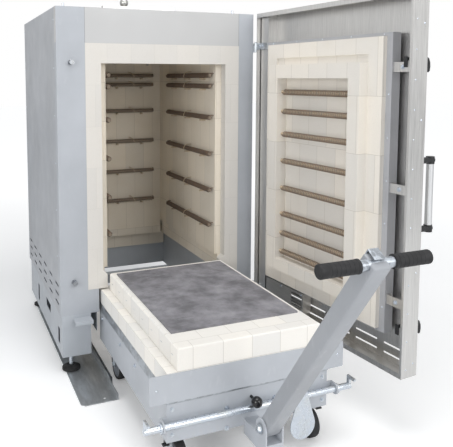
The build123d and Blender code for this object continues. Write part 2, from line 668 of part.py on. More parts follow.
def door_hardware():
    s = DOOR_SHEET
    face = -DOOR_RIM - DOOR_THICK
    inside = face + s
    channel = block(STIFFENER_X, DOOR_RIGHT - 8, inside, -30, DOOR_BOTTOM + s, CAB_HEIGHT - s - 1)
    channel -= block(STIFFENER_X + s, DOOR_RIGHT - 8 - s, inside - 1, -30 - s, DOOR_BOTTOM, CAB_HEIGHT)
    edge = -BORDER_HALF - PAN_FLANGE
    frame = [channel]
    for z in BRACKET_LEVELS:
        strap = [(DOOR_LEFT + s, -34), (edge, -34), (edge, -64), (edge - 4, -64)]
        strap += [(edge - 4, -38), (DOOR_LEFT + s, -38)]
        frame.append(along_z(strap, z - BRACKET_HALF, z + BRACKET_HALF))
    leaves = []
    for z in HINGE_LEVELS:
        z0, z1 = z - KNUCKLE_H / 2, z + KNUCKLE_H / 2
        leaf = rod((HINGE_X, HINGE_Y, z0), (HINGE_X, HINGE_Y, z1), KNUCKLE_R)
        leaf += block(DOOR_RIGHT - 8, HINGE_X, HINGE_Y - 6, HINGE_Y + 6, z0, z1)
        leaf += block(STIFFENER_X + 8, DOOR_RIGHT - 8, -30, HINGE_Y + 6, z0, z1)
        leaf -= rod((HINGE_X, HINGE_Y, z0 - 1), (HINGE_X, HINGE_Y, z1 + 1), PIN_R + PIN_FIT)
        leaves.append(leaf)
    lead_x = DOOR_RIGHT + LEAD_R + 0.2
    lead = [rod((lead_x, LEAD_Y, LEAD_Z0), (lead_x, LEAD_Y, LEAD_Z1), LEAD_R)]
    for z in CLIP_LEVELS:
        clip = block(DOOR_RIGHT, lead_x + LEAD_R + 2, LEAD_Y - 6, LEAD_Y + 6, z - 12, z + 12)
        lead.append(clip - rod((lead_x, LEAD_Y, z - 13), (lead_x, LEAD_Y, z + 13), LEAD_R))
    b = TERMINAL_BOX
    cover = block(b[0], b[1], inside + 6, -32, b[2], b[3])
    cover -= block(b[0] + 2, b[1] - 2, inside + 5, -34, b[2] + 2, b[3] - 2)
    for n in range(6):
        z = b[2] + 16 + 14 * n
        cover -= block(b[0] + 10, b[0] + 95, -36, -30, z - 3.5, z + 3.5)
    bosses, levers = [], []
    for z in CLAMP_LEVELS:
        boss_y = face - CLAMP_BOSS_H
        boss = rod((CLAMP_X, boss_y, z), (CLAMP_X, face, z), CLAMP_BOSS_R)
        boss -= rod((CLAMP_X, boss_y - 1, z), (CLAMP_X, face + 1, z), CLAMP_SPINDLE_R + PIN_FIT)
        bosses.append(boss)
        levers.append(clamp_lever(boss_y, z))
    arms = []
    for z0, z1 in ((GRIP_BOTTOM, GRIP_BOTTOM + 30), (GRIP_TOP - 30, GRIP_TOP)):
        reach = face - GRIP_REACH
        plan = [(HANDLE_X - 13, face), (HANDLE_X - 11, reach + 8), (HANDLE_X - 5, reach)]
        plan += [(HANDLE_X + 5, reach), (HANDLE_X + 11, reach + 8), (HANDLE_X + 13, face)]
        arms.append(along_z(plan, z0, z1))
    grip_y = face - GRIP_REACH + GRIP_R + 3
    grip = tube((HANDLE_X, grip_y, GRIP_BOTTOM + 30), (HANDLE_X, grip_y, GRIP_TOP - 30), GRIP_R, GRIP_R - 3)
    return frame, leaves, lead, cover, bosses, levers, arms, grip


def clamp_lever(boss_y, z):
    """Curved hand lever on a spindle, with the claw that draws the door onto its keeper."""
    claw_y = -KEEPER_REACH + KEEPER_HEAD + 2
    r = CLAMP_SPINDLE_R
    lever = rod((CLAMP_X, boss_y - 24, z), (CLAMP_X, claw_y, z), r)
    elbow = (CLAMP_X, boss_y - 24, z)
    lever += Pos(*elbow) * Sphere(r + 3)
    lever += rod(elbow, (CLAMP_X, boss_y - 34, z - CLAMP_ARM / 2), r + 3)
    lever += Pos(CLAMP_X, boss_y - 34, z - CLAMP_ARM / 2) * Sphere(r + 3)
    lever += rod((CLAMP_X, boss_y - 8, z), (CLAMP_X, boss_y - 0.5, z), r + 7)
    lever += block(CLAMP_X - 9, CLAMP_X + 9, claw_y, claw_y + 5, z - 34, z + 9)
    return lever


def door_nodes():
    pan, brick, coils, tubes = door_lining()
    frame, leaves, lead, cover, bosses, levers, arms, grip = door_hardware()
    lower, upper = levers
    pieces = {
        "door_shell": door_shell(),
        "door_pan": pan,
        "door_bricks": brick,
        "door_coils": group(*coils),
        "door_element_tubes": group(*tubes),
        "door_frame": group(*frame),
        "door_hinge_leaves": group(*leaves),
        "door_lead": group(*lead),
        "terminal_cover": cover,
        "door_grip": grip,
        "door_handle_arms": group(*arms),
        "clamp_bosses": group(*bosses),
        "clamp_lever_lower": lower,
        "clamp_lever_upper": upper,
    }
    nodes = {name: swing(piece) for name, piece in pieces.items()}
    brackets = []
    for z in HINGE_LEVELS:
        z1 = z - KNUCKLE_H / 2 - 0.5
        z0 = z1 - 12
        arm = rod((HINGE_X, HINGE_Y, z0), (HINGE_X, HINGE_Y, z1), KNUCKLE_R)
        arm += block(CAB_RIGHT, HINGE_X + KNUCKLE_R, HINGE_Y, 40, z0, z1)
        pin = rod((HINGE_X, HINGE_Y, z1), (HINGE_X, HINGE_Y, z + KNUCKLE_H / 2 + 8), PIN_R)
        brackets.append(arm + pin)
    nodes["hinge_brackets"] = group(*brackets)
    return nodes


# ---------------------------------------------------------------- bogie
def hearth_nodes():
    f = HEARTH_FRONT
    upper = block(-HEARTH_HALF, HEARTH_HALF, f, HEARTH_REAR, HEARTH_STEP, HEARTH_TOP)
    top_edges = upper.faces().sort_by(Axis.Z)[-1].edges()
    upper = chamfer(top_edges, EDGE_CUT)
    lower = block(-HEARTH_LOW_HALF, HEARTH_LOW_HALF, f, HEARTH_STEP_REAR, TRAY_TOP, HEARTH_STEP)
    t, w = TRAY_SHEET, HEARTH_LOW_HALF
    tray = block(-w, w, f, HEARTH_STEP_REAR, TRAY_BOTTOM, TRAY_TOP)
    tray -= block(-w + t, w - t, f + t, HEARTH_STEP_REAR - t, TRAY_BOTTOM + t, TRAY_TOP + 1)
    board = block(-w + t, w - t, f + t, HEARTH_STEP_REAR - t, TRAY_BOTTOM + t, TRAY_TOP)
    plate = block(-PLATE_HALF, PLATE_HALF, PLATE_FRONT, PLATE_REAR, HEARTH_TOP, HEARTH_TOP + PLATE_THICK)
    panel = block(-PANEL_HALF, PANEL_HALF, f - PANEL_THICK, f, PANEL_BOTTOM, PANEL_TOP)
    panel = fillet(panel.edges().filter_by(Axis.Y), PANEL_CORNER)
    return {
        "hearth_bricks": group(upper, lower),
        "hearth_plate": plate,
        "hearth_board": board,
        "hearth_tray": tray,
        "front_panel": panel,
    }


def frame_nodes():
    t, w = FRAME_PLATE, HEARTH_LOW_HALF
    low, high = FRAME_BOTTOM, TRAY_BOTTOM
    web_front = CHANNEL_FRONT + t
    ledge = w - SIDE_FLANGE
    side = [(w, low), (w, high), (ledge, high), (ledge, high - t), (w - t, high - t)]
    side += [(w - t, low + t), (ledge, low + t), (ledge, low)]
    right = along_y(side, web_front, HEARTH_STEP_REAR - 10)
    arch = REAR_WHEEL_R + 12
    right -= block(ledge - 1, w - t, REAR_WHEEL_Y - arch, REAR_WHEEL_Y + arch, low - 1, low + t)
    sides = both_sides(right)
    flange_back = CHANNEL_FRONT + CHANNEL_FLANGE
    front = [(CHANNEL_FRONT, low), (CHANNEL_FRONT, CHANNEL_TOP), (flange_back, CHANNEL_TOP)]
    front += [(flange_back, CHANNEL_TOP - t), (web_front, CHANNEL_TOP - t), (web_front, low)]
    web = along_x(front, -ledge, ledge)
    bore_start, bore_end = (PLUNGER_X, CHANNEL_FRONT - 1, PLUNGER_Z), (PLUNGER_X, web_front + 1, PLUNGER_Z)
    web -= rod(bore_start, bore_end, STEM_ROD_R + LOCK_FIT)
    webs = [web]
    end = block(ledge, w, CHANNEL_FRONT, web_front, low, CHANNEL_TOP)
    webs += [end, mirror(end, about=Plane.YZ)]
    inner = ledge
    for y, z0 in ((CASTOR_Y, castor_top()), (MID_BEAM_Y, high - CROSS), (REAR_WHEEL_Y, rear_fork_top())):
        beam = block(-inner, inner, y - CROSS / 2, y + CROSS / 2, z0, z0 + CROSS)
        beam -= block(-inner - 1, inner + 1, y - CROSS / 2 + 4, y + CROSS / 2 - 4, z0 + 4, z0 + CROSS - 4)
        webs.append(beam)
    lug = rod((LUG_X, LOCK_Y, LOCK_Z), (LUG_X + LUG_THICK, LOCK_Y, LOCK_Z), LUG_R)
    lug += block(LUG_X, LUG_X + LUG_THICK, LOCK_Y, CHANNEL_FRONT, LOCK_Z - LUG_R, LOCK_Z + LUG_R)
    lug -= rod((LUG_X - 1, LOCK_Y, LOCK_Z), (LUG_X + LUG_THICK + 1, LOCK_Y, LOCK_Z), LOCK_R + LOCK_FIT)
    lug += block(w, LUG_X + LUG_THICK, CHANNEL_FRONT, web_front, LOCK_Z - LUG_R, LOCK_Z + LUG_R)
    webs += [lug, mirror(lug, about=Plane.YZ)]
    return {"bogie_frame": group(sides, *webs)}


def castor_top():
    return FRAME_BOTTOM


def rear_fork_top():
    return 2 * REAR_WHEEL_R + 21


def wheel(x, y, r):
    """Rubber-tyred wheel with a bored hub, its axle along X."""
    half, rim = WHEEL_WIDE / 2, r - TYRE_THICK
    hub = rod((x - half, y, r), (x + half, y, r), rim)
    dish = WHEEL_WIDE / 2 - 7
    for side in (-1, 1):
        a, b = (x + side * (half + 1), y, r), (x + side * (half - dish), y, r)
        hub -= rod(b, a, rim - 6) - rod(b, a, AXLE_R + 9)
    hub -= rod((x - half - 1, y, r), (x + half + 1, y, r), AXLE_R + AXLE_FIT)
    tread = [(rim, -half), (r - 3, -half), (r, -half + 4), (r, half - 4), (r - 3, half), (rim, half)]
    tyre = revolve(make_face(Plane.XZ * Polyline(*tread, close=True)), Axis.Z)
    tyre = Pos(x, y, r) * Rot(0, 90, 0) * tyre
    return group(tyre, hub)


def fork(x, y, r, top, lean):
    """Two cheeks from a crown down to the axle; lean is how far the axle stands from the crown."""
    half = WHEEL_WIDE / 2 + FORK_GAP
    t = FORK_SHEET
    crown = top - CASTOR_CROWN
    ay = y + lean
    pieces = []
    for side in (-1, 1):
        x0 = x + side * half
        x1 = x0 + side * t
        cheek = [(y - 34, top), (y + 34, top), (ay + 16, r), (ay + 8, r - 14), (ay - 8, r - 14), (ay - 16, r)]
        pieces.append(along_x(cheek, min(x0, x1), max(x0, x1)))
    body = pieces[0] + pieces[1] + block(x - half - t, x + half + t, y - 34, y + 34, crown, top)
    axle = rod((x - half - t - 6, ay, r), (x + half + t + 6, ay, r), AXLE_R)
    for side in (-1, 1):
        a = (x + side * (half + t), ay, r)
        b = (x + side * (half + t + 7), ay, r)
        axle += rod(a, b, AXLE_R + 4)
    return body + axle


def running_gear_nodes():
    forks = []
    nodes = {}
    top = rear_fork_top()
    for side, name in ((-1, "left"), (1, "right")):
        x = side * REAR_WHEEL_X
        forks.append(fork(x, REAR_WHEEL_Y, REAR_WHEEL_R, top, 0))
        nodes["rear_wheel_" + name] = wheel(x, REAR_WHEEL_Y, REAR_WHEEL_R)
        cx = side * CASTOR_X
        stem_top = castor_top()
        plate_bottom = stem_top - CASTOR_PLATE
        head_top = plate_bottom - CASTOR_GAP
        pin_end = head_top - CASTOR_CROWN - PIN_HEAD
        plate = block(cx - 42, cx + 42, CASTOR_Y - 38, CASTOR_Y + 38, plate_bottom, stem_top)
        plate += rod((cx, CASTOR_Y, head_top + AXLE_FIT), (cx, CASTOR_Y, plate_bottom), RACE_R)
        plate += rod((cx, CASTOR_Y, pin_end), (cx, CASTOR_Y, plate_bottom), STEM_PIN_R)
        plate += rod((cx, CASTOR_Y, pin_end), (cx, CASTOR_Y, pin_end + PIN_HEAD - AXLE_FIT), STEM_PIN_R + 4)
        forks.append(plate)
        axle_y = CASTOR_Y - CASTOR_TRAIL
        castor = fork(cx, CASTOR_Y, CASTOR_R, head_top, -CASTOR_TRAIL)
        castor -= rod((cx, CASTOR_Y, pin_end), (cx, CASTOR_Y, plate_bottom), STEM_PIN_R + AXLE_FIT)
        nodes["castor_fork_" + name] = castor
        nodes["castor_wheel_" + name] = wheel(cx, axle_y, CASTOR_R)
        nodes["castor_brake_" + name] = brake_pedal(cx, side)
    nodes["rear_forks"] = group(*forks)
    return nodes


def brake_pedal(cx, side):
    """Sheet lever on the outer cheek of a castor, with a foot tread."""
    x0 = cx + side * (WHEEL_WIDE / 2 + FORK_GAP + FORK_SHEET + 9)
    x1 = x0 + side * 4
    y, z = CASTOR_Y, BRAKE_Z
    outline = [(y - 10, z - 8), (y + 10, z - 8), (y + 10, z + 8), (y - 26, z + 20), (y - 30, z + 14)]
    lever = along_x(outline, min(x0, x1), max(x0, x1))
    x2 = x1 + side * 22
    tread = block(min(x0, x2), max(x0, x2), y - 44, y - 26, z + 13, z + 18)
    pivot_in = cx + side * (WHEEL_WIDE / 2 + FORK_GAP + FORK_SHEET + 0.5)
    pivot = rod((pivot_in, y, z), (x0, y, z), 5)
    return lever + tread + pivot


def lock_nodes():
    y, z = LOCK_Y, LOCK_Z
    shaft = rod((-LOCK_HALF, y, z), (LOCK_HALF, y, z), LOCK_R)
    for side in (-1, 1):
        x0, x1 = side * LOCK_HALF, side * (LOCK_HALF - HOOK_THICK)
        top = z + HOOK_RISE
        finger = [(y - 7, z), (y + 7, z), (y + 7, top), (y - HOOK_TOE, top)]
        finger += [(y - HOOK_TOE, top - 9), (y - 7, top - 12)]
        shaft += along_x(finger, min(x0, x1), max(x0, x1))
    r = PEDAL_R
    front = y - LOCK_R - PEDAL_THICK
    outline = Plane((0, y - LOCK_R, 0), x_dir=(1, 0, 0), z_dir=(0, -1, 0))
    cx, cz = PEDAL_X, z - PEDAL_DROP
    face = outline * (Pos(cx, cz) * Circle(r))
    side_x, side_z = r * 0.96, cz + r * 0.28
    neck = [(cx - side_x, side_z), (cx - 17, z + 26), (cx + 17, z + 26), (cx + side_x, side_z)]
    pedal = extrude(face, PEDAL_THICK) + along_y(neck, front, y - LOCK_R)
    clasp = tube((cx - 22, y, z), (cx + 22, y, z), LOCK_R + 4, LOCK_R)
    cut = rod((cx - 60, y, z), (cx + 60, y, z), LOCK_R)
    catches = []
    for side in (-1, 1):
        a, b = side * CATCH_IN, side * CATCH_OUT
        x0, x1 = min(a, b), max(a, b)
        plate = [(0, CATCH_Z - 24), (-4, CATCH_Z - 24), (-4, CATCH_Z + 14), (-60, CATCH_Z + 14)]
        plate += [(-60, CATCH_Z), (-64, CATCH_Z), (-64, CATCH_Z + 18), (0, CATCH_Z + 18)]
        catches.append(along_x(plate, x0, x1))
    return {"lock_shaft": shaft, "foot_pedal": (pedal + clasp) - cut, "lock_catches": group(*catches)}


def tiller_nodes():
    half = TILLER_TUBE / 2
    t = TILLER_WALL
    pivot = Plane((0, TILLER_Y, TILLER_Z)) * Rot(TILLER_LEAN, 0, 0)
    beam = Box(2 * half, 2 * half, TILLER_LEN + half, align=(Align.CENTER, Align.CENTER, Align.MIN))
    bore_wide, bore_long = 2 * half - 2 * t, TILLER_LEN + half - t
    beam -= Pos(0, 0, -1) * Box(bore_wide, bore_wide, bore_long, align=(Align.CENTER, Align.CENTER, Align.MIN))
    beam = Pos(0, 0, -half / 2) * beam
    bore = rod((-half - 1, 0, 0), (half + 1, 0, 0), TILLER_PIN_R + PIN_FIT)
    beam -= bore
    seat = rod((-half - 1, 0, TILLER_LEN), (half + 1, 0, TILLER_LEN), TBAR_R)
    beam -= seat
    tbar = tube((-TBAR_HALF + 2, 0, TILLER_LEN), (TBAR_HALF - 2, 0, TILLER_LEN), TBAR_R, TBAR_R - 3)
    strap = block(-18, 18, half, half + 4, TILLER_LEN - 60, TILLER_LEN + 26)
    grips = []
    for side in (-1, 1):
        a = side * (TBAR_HALF - HANDGRIP_LEN)
        b = side * (TBAR_HALF - 1)
        end = side * TBAR_HALF
        sleeve = rod((a, 0, TILLER_LEN), (end, 0, TILLER_LEN), HANDGRIP_R)
        sleeve -= rod((a - side, 0, TILLER_LEN), (b - side, 0, TILLER_LEN), TBAR_R)
        grips.append(sleeve)
    place = pivot
    ears = []
    for side in (-1, 1):
        x0 = side * (half + EAR_GAP)
        x1 = x0 + side * EAR_THICK
        plate = rod((x0, TILLER_Y, TILLER_Z), (x1, TILLER_Y, TILLER_Z), EAR_R)
        plate += block(min(x0, x1), max(x0, x1), TILLER_Y - EAR_R, TILLER_Y + EAR_R, TILLER_Z - 50, TILLER_Z)
        ears.append(plate)
    outer = half + EAR_GAP + EAR_THICK
    post_top = TILLER_Z - 50
    post = block(-outer, outer, TILLER_Y - EAR_R, TILLER_Y + EAR_R, POST_FOOT, post_top)
    wall = POST_WALL
    y0, y1 = TILLER_Y - EAR_R + wall, TILLER_Y + EAR_R - wall
    post -= block(-outer + wall, outer - wall, y0, y1, POST_FOOT - 1, post_top - wall)
    arm = block(-half, half, TILLER_Y + EAR_R, CHANNEL_FRONT, post_top - 52, post_top + 8)
    arm -= block(-half + 4, half - 4, TILLER_Y + EAR_R - 1, CHANNEL_FRONT + 1, post_top - 48, post_top + 4)
    pin = rod((-outer - 5, TILLER_Y, TILLER_Z), (outer + 5, TILLER_Y, TILLER_Z), TILLER_PIN_R)
    bracket = post + arm + ears[0] + ears[1] + pin
    return {
        "tiller": place * beam,
        "tiller_bar": place * (tbar + strap),
        "hand_grips": group(*[place * g for g in grips]),
        "tow_bracket": bracket,
        "pull_knob": pull_knob(),
    }


def pull_knob():
    """Spring plunger with a ball knob."""
    y, z = PLUNGER_Y, PLUNGER_Z
    ball = Pos(PLUNGER_X, y, z) * Sphere(BALL_R)
    stem = rod((PLUNGER_X, y, z), (PLUNGER_X, CHANNEL_FRONT + PLUNGER_REACH, z), STEM_ROD_R)
    return ball + stem


# ---------------------------------------------------------------- write every piece
def main():
    nodes = {}
    for make in (base_nodes, floor_nodes, casing_nodes, lining_nodes, element_nodes, exhaust_nodes):
        nodes.update(make())
    for make in (door_nodes, hearth_nodes, frame_nodes, running_gear_nodes, lock_nodes, tiller_nodes):
        nodes.update(make())
    os.makedirs("parts", exist_ok=True)
    for name, shape in nodes.items():
        export_step(shape, f"parts/{name}.step")
    print(len(nodes), "nodes")


main()
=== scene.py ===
import math
import bmesh
import bpy
from mathutils import Matrix, Vector


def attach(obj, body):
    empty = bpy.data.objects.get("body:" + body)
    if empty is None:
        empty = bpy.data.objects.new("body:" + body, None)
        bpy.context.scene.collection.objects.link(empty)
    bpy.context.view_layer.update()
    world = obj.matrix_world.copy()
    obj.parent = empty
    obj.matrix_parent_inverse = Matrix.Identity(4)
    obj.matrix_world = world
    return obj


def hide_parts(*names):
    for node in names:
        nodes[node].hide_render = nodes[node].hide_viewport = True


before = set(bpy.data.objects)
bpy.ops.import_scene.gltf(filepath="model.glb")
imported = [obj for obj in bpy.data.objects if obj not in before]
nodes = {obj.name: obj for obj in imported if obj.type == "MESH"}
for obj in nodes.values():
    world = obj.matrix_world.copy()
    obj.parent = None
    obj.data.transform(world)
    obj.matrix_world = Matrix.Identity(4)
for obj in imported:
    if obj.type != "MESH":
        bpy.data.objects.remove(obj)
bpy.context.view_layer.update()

# Places in metres, as in the furnace's CAD source.
HINGE = Vector((0.519, -0.014, 0.0))
DOOR_OPEN = math.radians(95.6)
DOOR_FACE = -0.092
LEVELS = (0.675, 0.870, 1.071, 1.272, 1.443, 1.502)
DOOR_LEVELS = (0.600, 0.696, 0.796, 0.930, 1.069, 1.205, 1.320, 1.417)
TOW_PIVOT = Vector((0.0, -1.082, 0.210))
TOW_LEAN = math.radians(35.3)
TOW_LENGTH = 0.944
CLAMP_HEIGHTS = {"lower": 0.470, "upper": 1.563}
CASTOR = (0.292, -0.862, 0.0625)
CASTOR_TRAIL = 0.036
REAR_WHEEL = (0.300, -0.131, 0.075)
TYRE_HALF = 0.019
AXLE_BORE = 0.00606
HANDLE_X = -0.515
HANDLE_ARMS = (0.853, 1.137)
KEEPER_X = -0.490
BRACKET_HEIGHTS = (0.560, 1.034, 1.531)
HINGE_HEIGHTS = (0.330, 1.657)
LINTEL_HALF = 0.420
LINTEL_SILL = 1.6585
ROOF = 1.830
FLUE = (-0.075, 0.300, 1.866)
SQUARE_ON = 0.6  # a face counts as square to an axis past this share of its normal


# ------------------------------------------------------------------ surfaces
def tone(red, green, blue):
    """Linear colour of a paint chip given from 0 to 255."""
    def linear(v):
        v /= 255
        return v / 12.92 if v <= 0.04045 else ((v + 0.055) / 1.055) ** 2.4
    return (linear(red), linear(green), linear(blue), 1.0)


class Surface:
    """A material whose patterns follow the piece's own Object coordinates."""

    def __init__(self, name, colour, roughness, metallic=0.0):
        self.material = bpy.data.materials.new(name)
        self.material.use_nodes = True
        self.tree = self.material.node_tree
        self.shader = self.tree.nodes["Principled BSDF"]
        self.set("Base Color", colour)
        self.set("Roughness", roughness)
        self.set("Metallic", metallic)
        coords = self.tree.nodes.new("ShaderNodeTexCoord")
        self.place = coords.outputs["Object"]
        self.facing = coords.outputs["Normal"]

    def set(self, socket, value):
        if hasattr(value, "links"):
            self.tree.links.new(value, self.shader.inputs[socket])
        else:
            self.shader.inputs[socket].default_value = value

    def node(self, kind, inputs, **settings):
        made = self.tree.nodes.new(kind)
        for key, value in settings.items():
            setattr(made, key, value)
        for key, value in inputs.items():
            if hasattr(value, "links"):
                self.tree.links.new(value, made.inputs[key])
            else:
                made.inputs[key].default_value = value
        return made

    def turn(self, angle, centre):
        """Squares the pattern up with a leaf that stands open by this angle."""
        moved = self.node("ShaderNodeVectorMath", {0: self.place, 1: tuple(centre)}, operation="SUBTRACT")
        mapped = self.node("ShaderNodeMapping", {"Vector": moved.outputs[0], "Rotation": (0, 0, -angle)})
        faced = self.node("ShaderNodeMapping", {"Vector": self.facing, "Rotation": (0, 0, -angle)})
        self.place = mapped.outputs[0]
        self.facing = faced.outputs[0]

    def grain(self, scale, detail=4.0, stretch=(1, 1, 1), rough=0.55):
        where = self.place
        if stretch != (1, 1, 1):
            where = self.node("ShaderNodeMapping", {"Vector": where, "Scale": stretch}).outputs[0]
        inputs = {"Vector": where, "Scale": scale, "Detail": detail, "Roughness": rough}
        made = self.node("ShaderNodeTexNoise", inputs)
        return made.outputs[0]

    def cells(self, scale, feature="F1"):
        made = self.node("ShaderNodeTexVoronoi", {"Vector": self.place, "Scale": scale}, feature=feature)
        return made.outputs[0], made.outputs[1] if feature == "F1" else None

    def span(self, value, low, high, start=0.3, stop=0.7):
        made = self.node("ShaderNodeMapRange", {0: value, 1: start, 2: stop, 3: low, 4: high})
        return made.outputs[0]

    def blend(self, share, first, second, kind="MIX"):
        made = self.node("ShaderNodeMix", {0: share, 6: first, 7: second}, data_type="RGBA", blend_type=kind)
        return made.outputs[2]

    def sums(self, kind, first, second):
        return self.node("ShaderNodeMath", {0: first, 1: second}, operation=kind).outputs[0]

    def relief(self, *layers):
        """Bump from (height, strength, distance in metres) layers, one over the other."""
        under = None
        for height, strength, distance in layers:
            inputs = {"Height": height, "Strength": strength, "Distance": distance}
            if under is not None:
                inputs["Normal"] = under
            under = self.node("ShaderNodeBump", inputs).outputs[0]
        self.set("Normal", under)

    def face_plane(self):
        """Coordinates along and up whichever face of the brickwork is met."""
        spot = self.node("ShaderNodeSeparateXYZ", {0: self.place}).outputs
        face = self.node("ShaderNodeSeparateXYZ", {0: self.facing}).outputs
        sideways = self.sums("GREATER_THAN", self.sums("ABSOLUTE", face[0], 0.0), SQUARE_ON)
        level = self.sums("GREATER_THAN", self.sums("ABSOLUTE", face[2], 0.0), SQUARE_ON)
        along = self.node("ShaderNodeMix", {0: sideways, 2: spot[0], 3: spot[1]}).outputs[0]
        up = self.node("ShaderNodeMix", {0: level, 2: spot[2], 3: spot[1]}).outputs[0]
        return along, up


def powder_paint(name, colour, wear=0.5, lintel=None):
    """Satin powder coat: faint orange peel, handling marks and a trace of dust."""
    paint = Surface(name, colour, 0.42)
    cloud = paint.grain(3.2, 5.0)
    deep = tuple(c * 0.90 for c in colour[:3]) + (1,)
    pale = tuple(min(1.0, c * 1.06) for c in colour[:3]) + (1,)
    body = paint.blend(paint.span(cloud, 0.0, 1.0), deep, pale)
    rub = paint.span(paint.grain(38.0, 6.0, (1, 1, 0.35)), 0.0, 0.30 * wear, 0.60, 0.78)
    dust = tuple(min(1.0, 0.5 * c + 0.42) for c in colour[:3]) + (1,)
    body = paint.blend(rub, body, dust)
    if lintel:
        half, sill, chip = lintel
        across, up = paint.face_plane()
        off = paint.sums("ABSOLUTE", across, 0.0)
        over = paint.sums("GREATER_THAN", up, sill)
        between = paint.sums("MULTIPLY", over, paint.sums("LESS_THAN", off, half))
        gap = paint.sums("ABSOLUTE", paint.sums("SUBTRACT", off, half), 0.0)
        # Dark line along the joint of post and lintel: painted shade in the gap between the panels.
        seam_shade = paint.sums("MULTIPLY", over, paint.sums("LESS_THAN", gap, 0.0010))
        body = paint.blend(paint.sums("MULTIPLY", between, 0.75), body, chip)
        body = paint.blend(paint.sums("MULTIPLY", seam_shade, 0.7), body, tone(96, 98, 102))
    paint.set("Base Color", body)
    paint.set("Roughness", paint.span(paint.grain(9.0), 0.36, 0.52))
    paint.relief((paint.grain(420.0, 2.0), 0.10, 0.0006), (paint.grain(26.0, 2.0), 0.05, 0.002))
    return paint.material


def masonry(
    name, colour, brick, course, shift=(0.0, 0.0), open_door=False, stain=0.35, joint=0.0011, contrast=1.0
):
    """Light insulating firebrick: fine pores, slight shade from brick to brick, thin dry joints."""
    wall = Surface(name, colour, 0.93)
    if open_door:
        wall.turn(DOOR_OPEN, HINGE)
    along, up = wall.face_plane()
    moved = {0: wall.sums("ADD", along, shift[0]), 1: wall.sums("ADD", up, shift[1])}
    spot = wall.node("ShaderNodeCombineXYZ", moved)
    settings = {
        "Vector": spot.outputs[0], "Scale": 1.0, "Mortar Size": joint, "Mortar Smooth": 0.35,
        "Brick Width": brick, "Row Height": course,
    }
    shades = {"Color1": (0.42, 0.42, 0.42, 1), "Color2": (0.58, 0.58, 0.58, 1), "Mortar": (0.5, 0.5, 0.5, 1)}
    bond = wall.node("ShaderNodeTexBrick", {**settings, **shades}, offset=0.5, squash=1.0)
    cool = tuple(c * (1 - 0.07 * contrast) for c in colour[:3]) + (1,)
    lift = (1 + 0.05 * contrast, 1 + 0.03 * contrast, 1)
    warm = tuple(min(1, c * more) for c, more in zip(colour, lift)) + (1,)
    body = wall.blend(wall.span(bond.outputs[0], 0.0, 1.0, 0.42, 0.58), cool, warm)
    fleck = wall.span(wall.grain(310.0, 3.0), 0.0, 0.34, 0.55, 0.75)
    body = wall.blend(fleck, body, tuple(c * 0.74 for c in colour[:3]) + (1,))
    smoke = wall.span(wall.grain(5.0, 5.0), 0.0, stain, 0.48, 0.80)
    body = wall.blend(smoke, body, (colour[0] * 0.80, colour[1] * 0.74, colour[2] * 0.64, 1))
    grime = (colour[0] * 0.50, colour[1] * 0.47, colour[2] * 0.42, 1)
    body = wall.blend(wall.sums("MULTIPLY", bond.outputs[1], 0.55 * contrast), body, grime)
    wall.set("Base Color", body)
    flat = wall.sums("SUBTRACT", 1.0, bond.outputs[1])
    pores = wall.span(wall.cells(520.0)[0], 0.0, 1.0, 0.0, 0.35)
    wall.relief((flat, 0.35, 0.0012), (pores, 0.16, 0.0006), (wall.grain(90.0, 4.0), 0.12, 0.0012))
    return wall.material


def fibre_board(name, colour):
    board = Surface(name, colour, 0.96)
    thread = board.grain(150.0, 6.0, (1, 1, 5), 0.7)
    dim = tuple(c * 0.80 for c in colour[:3]) + (1,)
    board.set("Base Color", board.blend(board.span(thread, 0.0, 1.0), dim, colour))
    board.relief((thread, 0.3, 0.001))
    return board.material


def brushed(name, colour, stretch, rough=(0.26, 0.44), open_door=False, streak=0.5):
    """Rolled sheet metal with the long fine lines of its finishing belt."""
    sheet = Surface(name, colour, 0.34, 1.0)
    if open_door:
        sheet.turn(DOOR_OPEN, HINGE)
    line = sheet.grain(30.0, 5.0, stretch, 0.7)
    haze = sheet.grain(2.6, 4.0)
    deep = tuple(c * (1 - 0.32 * streak) for c in colour[:3]) + (1,)
    pale = tuple(min(1.0, c * (1 + 0.16 * streak)) for c in colour[:3]) + (1,)
    body = sheet.blend(sheet.span(line, 0.0, 1.0, 0.35, 0.65), deep, pale)
    dim = tuple(c * 0.82 for c in colour[:3]) + (1,)
    body = sheet.blend(sheet.span(haze, 0.0, 0.35, 0.45, 0.75), body, dim)
    sheet.set("Base Color", body)
    sheet.set("Roughness", sheet.span(line, rough[0], rough[1], 0.3, 0.7))
    sheet.relief((line, 0.10, 0.0004), (haze, 0.03, 0.004))
    return sheet.material


def galvanised(name, colour, spangle=46.0, rough=(0.34, 0.55)):
    """Hot-dip zinc: crystal spangle in two sizes with a dull bloom."""
    coat = Surface(name, colour, 0.42, 0.9)
    shade = coat.cells(spangle)[1]
    small = coat.cells(spangle * 3.1)[1]
    grey = coat.node("ShaderNodeSeparateColor", {0: shade}).outputs[0]
    fine = coat.node("ShaderNodeSeparateColor", {0: small}).outputs[1]
    both = coat.sums("ADD", coat.sums("MULTIPLY", grey, 0.65), coat.sums("MULTIPLY", fine, 0.35))
    deep = tuple(c * 0.72 for c in colour[:3]) + (1,)
    pale = tuple(min(1.0, c * 1.15) for c in colour[:3]) + (1,)
    body = coat.blend(coat.span(both, 0.0, 1.0, 0.2, 0.8), deep, pale)
    bloom = coat.span(coat.grain(11.0, 5.0), 0.0, 0.45, 0.5, 0.78)
    coat.set("Base Color", coat.blend(bloom, body, (0.66, 0.68, 0.70, 1)))
    coat.set("Roughness", coat.span(both, rough[0], rough[1], 0.2, 0.8))
    coat.relief((coat.grain(160.0, 3.0), 0.10, 0.0006))
    return coat.material


